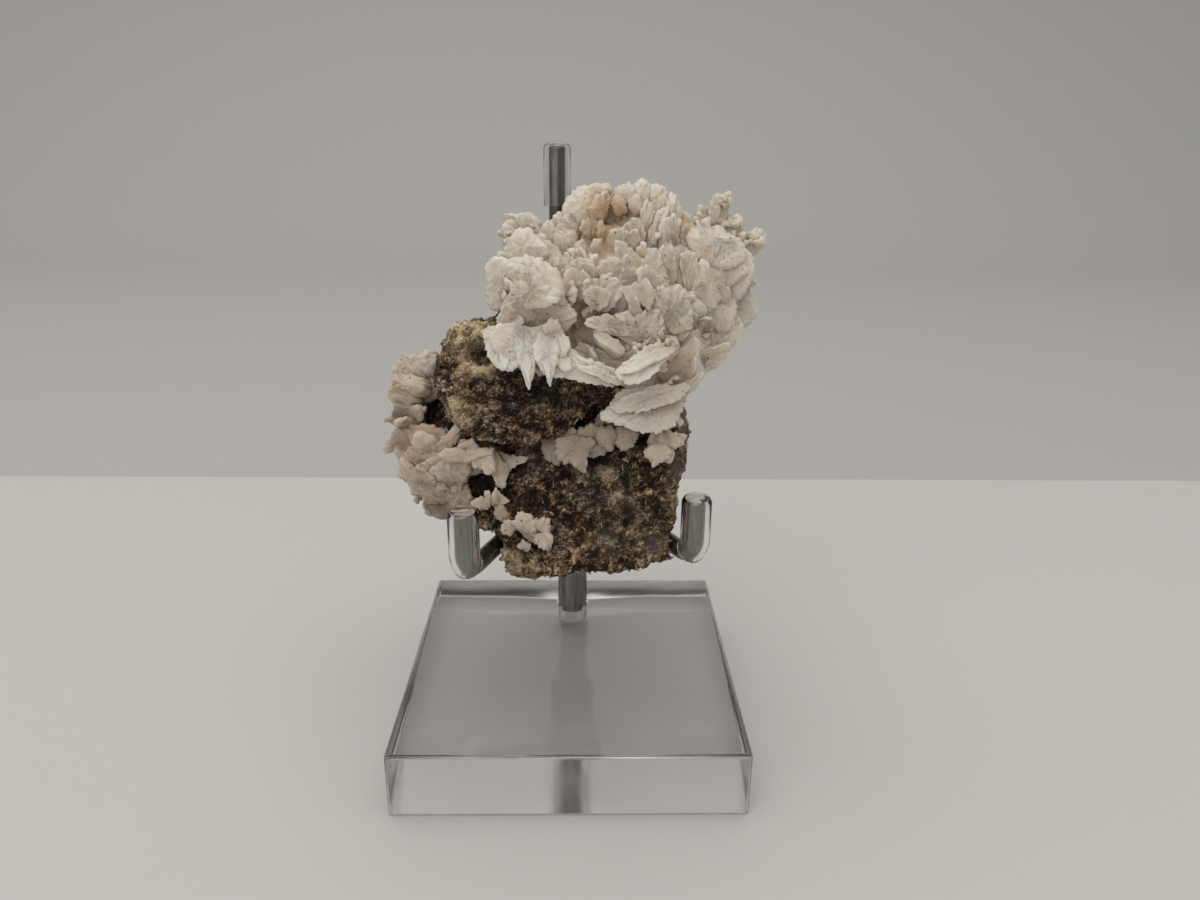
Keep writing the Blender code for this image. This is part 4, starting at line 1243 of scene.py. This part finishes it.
def scatter(growth, places, normals, spacing, keep, length, crest, seed):
    """Plates a spacing apart all over a surface, open towards crest like shingles, where keep allows."""
    draw = np.random.default_rng(seed)
    taken = {}
    for index in draw.permutation(len(places)):
        place, normal = places[index], normals[index]
        cell = tuple(np.floor(place / spacing).astype(int))
        if cell in taken:
            continue
        taken[cell] = True
        if not keep(place, normal):
            continue
        towards = crest - place
        towards = towards / np.linalg.norm(towards) + draw.uniform(-0.7, 0.7, 3)
        lying = towards - normal * (towards @ normal)
        lying /= np.linalg.norm(lying)
        rise = math.radians(draw.uniform(22, 62))
        axis = lying * math.cos(rise) + normal * math.sin(rise)
        size = draw.uniform(*length)
        face = normal + 0.3 * draw.normal(size=3)
        growth.sprout(place - normal * SPROUT_DEPTH, axis, face, size, size * draw.uniform(0.7, 1.1))


def away_from_rods(place, room):
    """Whether a place is at least room away from the stand's rods and tips."""
    for start, end, radius in ROD_LINES:
        axis = end - start
        along = min(max((place - start) @ axis / (axis @ axis), 0), 1)
        if np.linalg.norm(place - start - along * axis) < radius + room:
            return False
    return True


def coat(name, skins, material, slot_name, node, ground, peach=(), shade_and_grey=(), tint=0.0, even_shade=0.0):
    """Makes one piece of each skin. Crowded places are painted warmer and darker, as shade."""
    tree = all_of(skins)
    for part, (places, faces, rims, grain) in skins.items():
        places = clear_of_stand(places)
        crowd = crowding(tree, places, faces, CREVICE_REACH)
        warm = seen_spots(places, peach, ground) + tint
        # The even darkening is painted shade, most on the crystals under the ledge
        grey = even_shade + seen_spots(places, shade_and_grey, ground)
        # Crowded corners get painted shade: warmer in the tint, darker in the mask
        layers = (
            ("tint", np.clip(warm + CREVICE_WARM_SHADE * crowd, 0, 1)), ("rim", rims), ("grain", grain),
            ("shade_and_grey", np.clip(grey + CREVICE_SHADE * crowd, 0, 1)),
        )
        finish(new_object(f"{name}_{part}", places, faces, material, layers), slot_name, node)


def all_of(skins):
    """One search tree of all the skins' faces."""
    corners, faces, count = [], [], 0
    for places, part_faces, _, _ in skins.values():
        corners += places.tolist()
        faces += [[corner + count for corner in face] for face in part_faces]
        count += len(places)
    return BVHTree.FromPolygons(corners, faces)


def core_of(node, voxel, shrink, relief=0.55):
    """The mass that a cluster's plates stand on: a slightly smaller, rougher copy of the CAD node."""
    places, normals, faces = remeshed(cad_mesh(node), voxel, smooth=2)
    places = places - normals * shrink
    rough = relief * noise(places, 1.6, 31) + 0.5 * relief * noise(places, 0.7, 32)
    places += normals * rough[:, None]
    return (places, faces, np.full(len(places), 0.3), places), normals, Ground(places, faces)


def build_rosette(material):
    core, normals, ground = core_of("upper_rosette", voxel=0.6, shrink=ROSETTE_SHRINK)
    places = core[0]
    places -= HOLLOW_DEPTH * normals * seen_spots(places, HOLLOWS, ground)[:, None]
    skins = {"core": core}
    for part, plates, jag in CLUSTERS:
        growth = Growth(seed=len(skins) + 40)
        growth.outlined(ground, plates, jag)
        skins[part] = growth.skin()
    front = all_of(skins)

    def behind(place, normal):
        free = away_from_rods(place, 2.5)
        return free and place[2] < CROWN_BACK_Z and hidden(front, place, BACK_DEPTH)

    sides = Growth(seed=47)
    crest = ROSETTE_MIDDLE + (0, 0, 22)
    scatter(sides, places, normals, 3.5, behind, length=(3.0, 5.5), crest=crest, seed=5)
    skins["sides"] = sides.skin()

    def open_front(place, normal):
        if not hidden(front, place, COVER_DEPTH):
            return place[2] < CROWN_Z or not ground.in_view(place, normal)
        faces_away = normal @ CAMERA_FORWARD > 0
        return faces_away and (place[2] > CROWN_BACK_Z or not hidden(front, place, BACK_DEPTH))

    small = Growth(seed=48)
    crest = ROSETTE_MIDDLE + (0, -10, 22)
    below = places - ROSETTE_SHRINK * normals
    scatter(small, below, normals, 2.1, open_front, length=(1.3, 2.2), crest=crest, seed=6)
    skins["small"] = small.skin()
    coat("rosette", skins, material, "calcite_white", "upper_rosette", ground, PEACH_SPOTS, PAINTED_SHADE_SPOTS)


# Left crust and the small clusters

CRUST_MIDDLE = np.array((-25.0, 4.0, 59.0))
CRUST_PEACH = (
    (420, 440, 3.5, 0.6), (446, 440, 2.4, 0.6), (400, 390, 3.5, 0.35), (415, 455, 2.5, 0.6),
    (420, 470, 2.2, 0.45), (498, 462, 2.6, 0.6), (465, 446, 2.0, 0.6),
)
# Where the crust is darkened, likewise: painted shade in the recess under the puffs, and the druse's own
# greyer tone lower down
CRUST_SHADE_AND_GREY = (
    (408, 417, 2.2, 1.0), (418, 415, 1.8, 1.0), (398, 412, 1.6, 0.8), (402, 438, 1.6, 0.9),
    (430, 405, 2.4, 1.0), (440, 495, 3.6, 0.5), (450, 475, 3.4, 0.45), (455, 510, 3.4, 0.55),
    (430, 505, 2.8, 0.5), (475, 515, 2.6, 0.5), (462, 492, 3.0, 0.4), (420, 462, 3.4, 0.2),
    (400, 435, 3.4, 0.2),
)
CRUST_PLATES = {
    "puff_top": (0.6, 20, -20, 2.0, 3.0, 0.20, (
        (424, 384), (402, 378), (397, 370), (403, 362), (411, 358), (421, 357), (429, 353),
        (437, 351), (440, 360), (434, 374))),
    "puff_middle": (0.8, 10, -25, 1.6, 2.6, 0.20, (
        (424, 396), (400, 396), (393, 390), (393, 380), (400, 373), (412, 374), (424, 378), (428, 386))),
    "puff_low": (1.0, 5, -25, 1.4, 2.2, 0.20, (
        (416, 404), (398, 404), (391, 398), (392, 388), (402, 385), (414, 388), (420, 396))),
    "edge_upper": (2.0, 45, -10, 0.2, 0.9, 0.04, (
        (412, 408), (399, 407), (392, 404), (396, 401), (408, 401), (418, 403), (425, 408))),
    "recess_face": (0.6, -25, -25, 0.2, 1.4, 0.05, (
        (408, 432), (396, 426), (392, 416), (394, 406), (410, 405), (422, 408), (423, 420), (418, 428))),
    "edge_middle": (2.2, 30, -20, 0.2, 0.8, 0.04, (
        (411, 448), (408, 437), (402, 431), (395, 425), (403, 425), (413, 431), (416, 440), (415, 449))),
    "under_middle": (1.2, -20, -25, 0.2, 1.2, 0.05, (
        (404, 450), (395, 444), (392, 434), (396, 427), (404, 430), (410, 438), (412, 449))),
    "shelf": (1.6, 30, -10, 0.4, 1.3, 0.08, (
        (430, 442), (414, 436), (412, 429), (422, 425), (434, 426), (444, 430), (448, 436), (440, 441))),
    "v_left": (2.4, -6, -10, 0.5, 1.2, 0.12, (
        (436, 456), (420, 452), (412, 444), (414, 435), (426, 433), (436, 440), (441, 450))),
    "v_right": (2.8, -10, 12, 0.3, 1.0, 0.08, (
        (438, 455), (436, 446), (443, 436), (452, 428), (458, 421), (460, 430), (457, 442), (448, 452))),
    "v_low": (1.6, 0, -15, 0.4, 1.2, 0.10, (
        (424, 466), (408, 462), (404, 454), (410, 448), (424, 447), (438, 451), (442, 458), (434, 464))),
    "ledge_plate": (3.2, 28, 0, 0.2, 0.9, 0.05, (
        (462, 458), (446, 458), (438, 455), (444, 449), (456, 447), (474, 448), (490, 448),
        (492, 453), (478, 457))),
    "low_plate": (2.4, -4, -6, 0.3, 1.1, 0.10, (
        (440, 474), (424, 473), (416, 467), (424, 461), (438, 456), (454, 456), (460, 462), (452, 470))),
    "cup_rim": (1.6, 6, -25, 0.3, 1.2, 0.08, (
        (420, 484), (408, 480), (402, 470), (401, 460), (406, 457), (412, 464), (422, 470),
        (431, 473), (434, 478), (428, 483))),
    "cup_low": (1.2, -16, -25, 0.4, 1.3, 0.08, (
        (424, 496), (412, 488), (408, 480), (420, 478), (434, 478), (436, 488), (432, 496))),
    "druse_high": (2.0, 0, 0, 0.8, 2.0, 0.20, (
        (452, 486), (436, 480), (430, 470), (438, 462), (450, 458), (464, 458), (470, 466),
        (468, 480), (462, 488))),
    "druse_left": (1.6, -4, -15, 0.8, 2.0, 0.20, (
        (440, 504), (426, 502), (420, 492), (422, 482), (434, 477), (446, 480), (452, 492), (450, 502))),
    "druse_right": (1.6, 0, 5, 0.8, 2.0, 0.20, (
        (462, 508), (450, 506), (446, 494), (452, 482), (464, 480), (470, 490), (474, 500), (470, 508))),
    "druse_low": (1.0, -14, -8, 0.8, 2.0, 0.20, (
        (450, 520), (434, 515), (424, 506), (426, 498), (440, 496), (456, 500), (470, 504),
        (474, 512), (464, 519))),
    "tooth_left": (3.4, -4, -12, 0.3, 1.1, 0.10, (
        (480, 449), (491, 449), (494, 458), (496, 468), (490, 474), (482, 470), (474, 467),
        (469, 459), (468, 451))),
    "tooth_right": (3.6, -6, 14, 0.3, 1.2, 0.12, (
        (496, 449), (502, 456), (508, 468), (507, 478), (503, 490), (498, 486), (493, 477),
        (492, 466), (490, 455))),
    "horn": (3.0, 4, 6, 0.3, 1.1, 0.10, (
        (502, 458), (499, 452), (510, 453), (520, 456), (529, 459), (520, 464), (511, 470),
        (505, 480), (501, 470))),
    "pink_blade": (2.4, 6, 4, 0.2, 0.9, 0.06, (
        (466, 452), (456, 449), (463, 442), (472, 439), (478, 445), (476, 451))),
}
LEDGE_PLATES = {
    "left": (0.8, -8, -10, 0.4, 1.2, 0.10, (
        (560, 436), (566, 448), (562, 462), (553, 464), (546, 457), (541, 449), (543, 441), (551, 436))),
    "main": (2.0, 4, 6, 0.4, 1.2, 0.14, (
        (580, 434), (592, 438), (596, 442), (590, 452), (587, 463), (585, 473), (577, 469),
        (570, 463), (563, 464), (557, 455), (555, 445), (562, 437))),
    "grey": (1.2, 10, -6, 0.4, 1.1, 0.10, (
        (566, 446), (553, 441), (555, 434), (564, 428), (573, 429), (579, 436), (576, 444))),
    "brown": (0.4, -10, 8, 0.4, 1.2, 0.06, (
        (590, 446), (580, 440), (578, 430), (588, 424), (600, 426), (603, 436), (598, 444))),
    "pair_left": (1.0, -6, 0, 0.8, 1.6, 0.10, (
        (608, 424), (616, 430), (616, 442), (609, 450), (600, 446), (595, 439), (598, 430))),
    "pair_right": (1.2, -4, 8, 0.8, 1.6, 0.10, (
        (624, 422), (634, 428), (637, 437), (633, 447), (624, 451), (616, 447), (614, 436), (616, 427))),
    "speck": (0.6, 0, 0, 0.3, 0.8, 0.03, (
        (627, 455), (632, 458), (631, 463), (626, 464), (622, 460), (623, 456))),
}
FLORET_PLATES = {
    "wing": (0.8, 8, 10, 0.4, 1.2, 0.08, (
        (662, 440), (658, 432), (666, 429), (674, 431), (680, 437), (684, 444), (677, 447), (667, 447))),
    "disc": (1.2, -2, 0, 0.4, 1.2, 0.12, (
        (660, 441), (669, 448), (670, 456), (664, 462), (656, 467), (650, 463), (645, 454),
        (646, 447), (653, 444))),
    "stem": (0.6, -6, 6, 0.4, 1.1, 0.06, (
        (664, 450), (658, 442), (657, 434), (664, 432), (670, 438), (671, 448))),
}
SPRIG_PLATES = {
    "left": (1.2, 4, -14, 0.3, 1.1, 0.08, (
        (514, 532), (509, 538), (504, 532), (501, 525), (507, 520), (516, 521), (521, 528))),
    "top": (1.8, 8, 0, 0.5, 1.3, 0.10, (
        (524, 533), (514, 528), (512, 519), (518, 513), (527, 513), (533, 517), (537, 526), (532, 532))),
    "right": (2.2, 6, 10, 0.5, 1.4, 0.12, (
        (540, 530), (534, 526), (538, 519), (546, 518), (551, 526), (552, 538), (550, 548),
        (544, 550), (538, 545), (534, 536))),
    "low": (0.8, 10, 0, 0.3, 1.0, 0.05, (
        (525, 551), (518, 547), (520, 542), (527, 541), (532, 545), (531, 550))),
}
SPIKE_PLATES = {
    "bed": (0.8, 14, -10, 0.3, 1.1, 0.05, (
        (482, 509), (473, 506), (472, 501), (478, 497), (486, 499), (491, 504), (489, 509))),
    "spike_left": (1.4, 6, -6, 0.2, 0.8, 0.04, (
        (487, 506), (484, 500), (483, 493), (486, 490), (490, 496), (491, 504))),
    "spike_right": (1.4, 6, 6, 0.2, 0.8, 0.04, (
        (494, 506), (491, 500), (493, 493), (496, 488), (498, 495), (498, 504))),
    "foot": (1.0, -4, 10, 0.3, 1.1, 0.05, (
        (502, 522), (495, 514), (495, 505), (501, 503), (507, 509), (510, 517))),
}
# Each small cluster's node and plates, whether it is white, and how much even painted shade it gets, most
# under the ledge
SMALL_GROUPS = (
    ("ledge_crystals", LEDGE_PLATES, True, 0.54), ("right_floret", FLORET_PLATES, True, 0.16),
    ("lower_sprig", SPRIG_PLATES, False, 0.10), ("small_sprig", SPIKE_PLATES, False, 0.06),
)


def build_crust(material):
    core, normals, ground = core_of("left_crust", voxel=0.5, shrink=0.8)
    front = Growth(seed=53)
    front.outlined(ground, CRUST_PLATES, 0.26)

    def behind(place, normal):
        return away_from_rods(place, 1.0) and not ground.in_view(place, normal)

    back = Growth(seed=54)
    crest = CRUST_MIDDLE + (0, 0, 16)
    scatter(back, core[0], normals, 2.4, behind, length=(1.8, 3.4), crest=crest, seed=6)
    skins = {"core": core, "front": front.skin(), "back": back.skin()}
    coat("crust", skins, material, "calcite_peach", "left_crust", ground, CRUST_PEACH, CRUST_SHADE_AND_GREY, 0.1)


def build_small_groups(white, peach):
    for node, plates, pure, even_shade in SMALL_GROUPS:
        material, slot_name = (white, "calcite_white") if pure else (peach, "calcite_peach")
        core, _, ground = core_of(node, voxel=0.3, shrink=0.6, relief=0.15)
        growth = Growth(seed=len(node))
        growth.outlined(ground, plates, 0.34)
        skins = {"core": core, "plates": growth.skin()}
        coat(node, skins, material, slot_name, node, ground, tint=0.2 if pure else 0.05, even_shade=even_shade)


# Stage


def build_stage():
    pale = plain_material("stage_pale", (0.66, 0.645, 0.62))
    grey = plain_material("stage_grey", (0.53, 0.52, 0.50))
    wide, near, seam, back, high, bend, steps = 1500.0, -900.0, 128.0, 900.0, 900.0, 300.0, 12
    profile = [(near, 0.0), (seam, 0.0)]
    sweep = [(seam, 0.0), (back - bend, 0.0)]
    for step in range(1, steps + 1):
        angle = math.pi / 2 * step / steps
        sweep.append((back - bend + bend * math.sin(angle), bend - bend * math.cos(angle)))
    sweep.append((back, high))
    for name, line, material in (("floor", profile, pale), ("backdrop", sweep, grey)):
        verts = [(x, y, z - 0.05) for y, z in line for x in (-wide, wide)]
        faces = [(2 * k, 2 * k + 1, 2 * k + 3, 2 * k + 2) for k in range(len(line) - 1)]
        new_object(name, verts, faces, material)


def add_light(name, place, target, size, power, colour):
    data = bpy.data.lights.new(name, "AREA")
    data.shape = "RECTANGLE"
    data.size, data.size_y = size[0] * MM, size[1] * MM
    data.energy = power
    data.color = colour
    light = bpy.data.objects.new(name, data)
    bpy.context.scene.collection.objects.link(light)
    light.location = Vector(place) * MM
    light.rotation_euler = (Vector(target) - Vector(place)).to_track_quat("-Z", "Y").to_euler()


def build_lights():
    world = bpy.data.worlds.new("studio")
    world.use_nodes = True
    world.node_tree.nodes["Background"].inputs["Color"].default_value = (1.0, 0.985, 0.965, 1)
    world.node_tree.nodes["Background"].inputs["Strength"].default_value = 0.36
    bpy.context.scene.world = world
    add_light("overhead", (-60, -40, 1100), (0, 0, 0), (1500, 1300), 7.0, (1.0, 0.985, 0.96))
    add_light("front", (-420, -820, 560), (0, 0, 70), (1200, 600), 2.0, (1.0, 0.985, 0.955))


# Stand

SHARP_ANGLE = math.radians(40)
FLAT_ANGLE = math.radians(0.5)


def build_stand(steel, shaded_steel, acrylic, vinyl):
    """Each part of the stand with its edges rounded."""
    for node, material, slot_name, edge in (
        ("base", acrylic, "acrylic", 0.40), ("post", steel, "steel", 0.30), ("hub", steel, "steel", 0.45),
        # The back rod takes a darker copy of the steel: painted shade
        ("back_rod", shaded_steel, "steel", 0.25), ("arm_left", steel, "steel", 0.25),
        ("arm_right", steel, "steel", 0.25), ("tip_back", vinyl, "vinyl", 0.08),
        ("tip_left", vinyl, "vinyl", 0.08), ("tip_right", vinyl, "vinyl", 0.08),
    ):
        shape = bmesh.new()
        shape.from_mesh(cad_mesh(node))
        bmesh.ops.remove_doubles(shape, verts=shape.verts, dist=0.001 * MM)
        bmesh.ops.dissolve_limit(
            shape, angle_limit=FLAT_ANGLE, verts=shape.verts, edges=shape.edges, delimit={"NORMAL"})
        sharp = [line for line in shape.edges if line.calc_face_angle(0) > SHARP_ANGLE]
        bmesh.ops.bevel(
            shape, geom=sharp, offset=edge * MM, segments=3, profile=0.5, affect="EDGES",
            clamp_overlap=True)
        mesh = bpy.data.meshes.new(f"stand_{node}")
        shape.to_mesh(mesh)
        shape.free()
        mesh.materials.append(material)
        mesh.shade_smooth()
        mesh.set_sharp_from_angle(angle=SHARP_ANGLE)
        obj = bpy.data.objects.new(f"stand_{node}", mesh)
        bpy.context.scene.collection.objects.link(obj)
        finish(obj, slot_name, node)


def main():
    bpy.context.scene.view_settings.view_transform = "Standard"
    make_camera()
    # A darker copy of the same steel for the back rod is painted shade
    steel, shaded_steel = steel_material("steel_satin", 1.0), steel_material("steel_painted_shade", 0.5)
    build_stand(steel, shaded_steel, acrylic_material(), vinyl_material())
    white = calcite_material("calcite_white", (0.97, 0.925, 0.82), (0.73, 0.54, 0.36), (0.75, 0.64, 0.49))
    peach = calcite_material("calcite_peach", (0.84, 0.76, 0.64), (0.60, 0.42, 0.28), (0.54, 0.44, 0.33))
    build_rock(rock_material())
    build_rosette(white)
    build_crust(peach)
    build_small_groups(white, peach)
    build_stage()
    build_lights()


main()
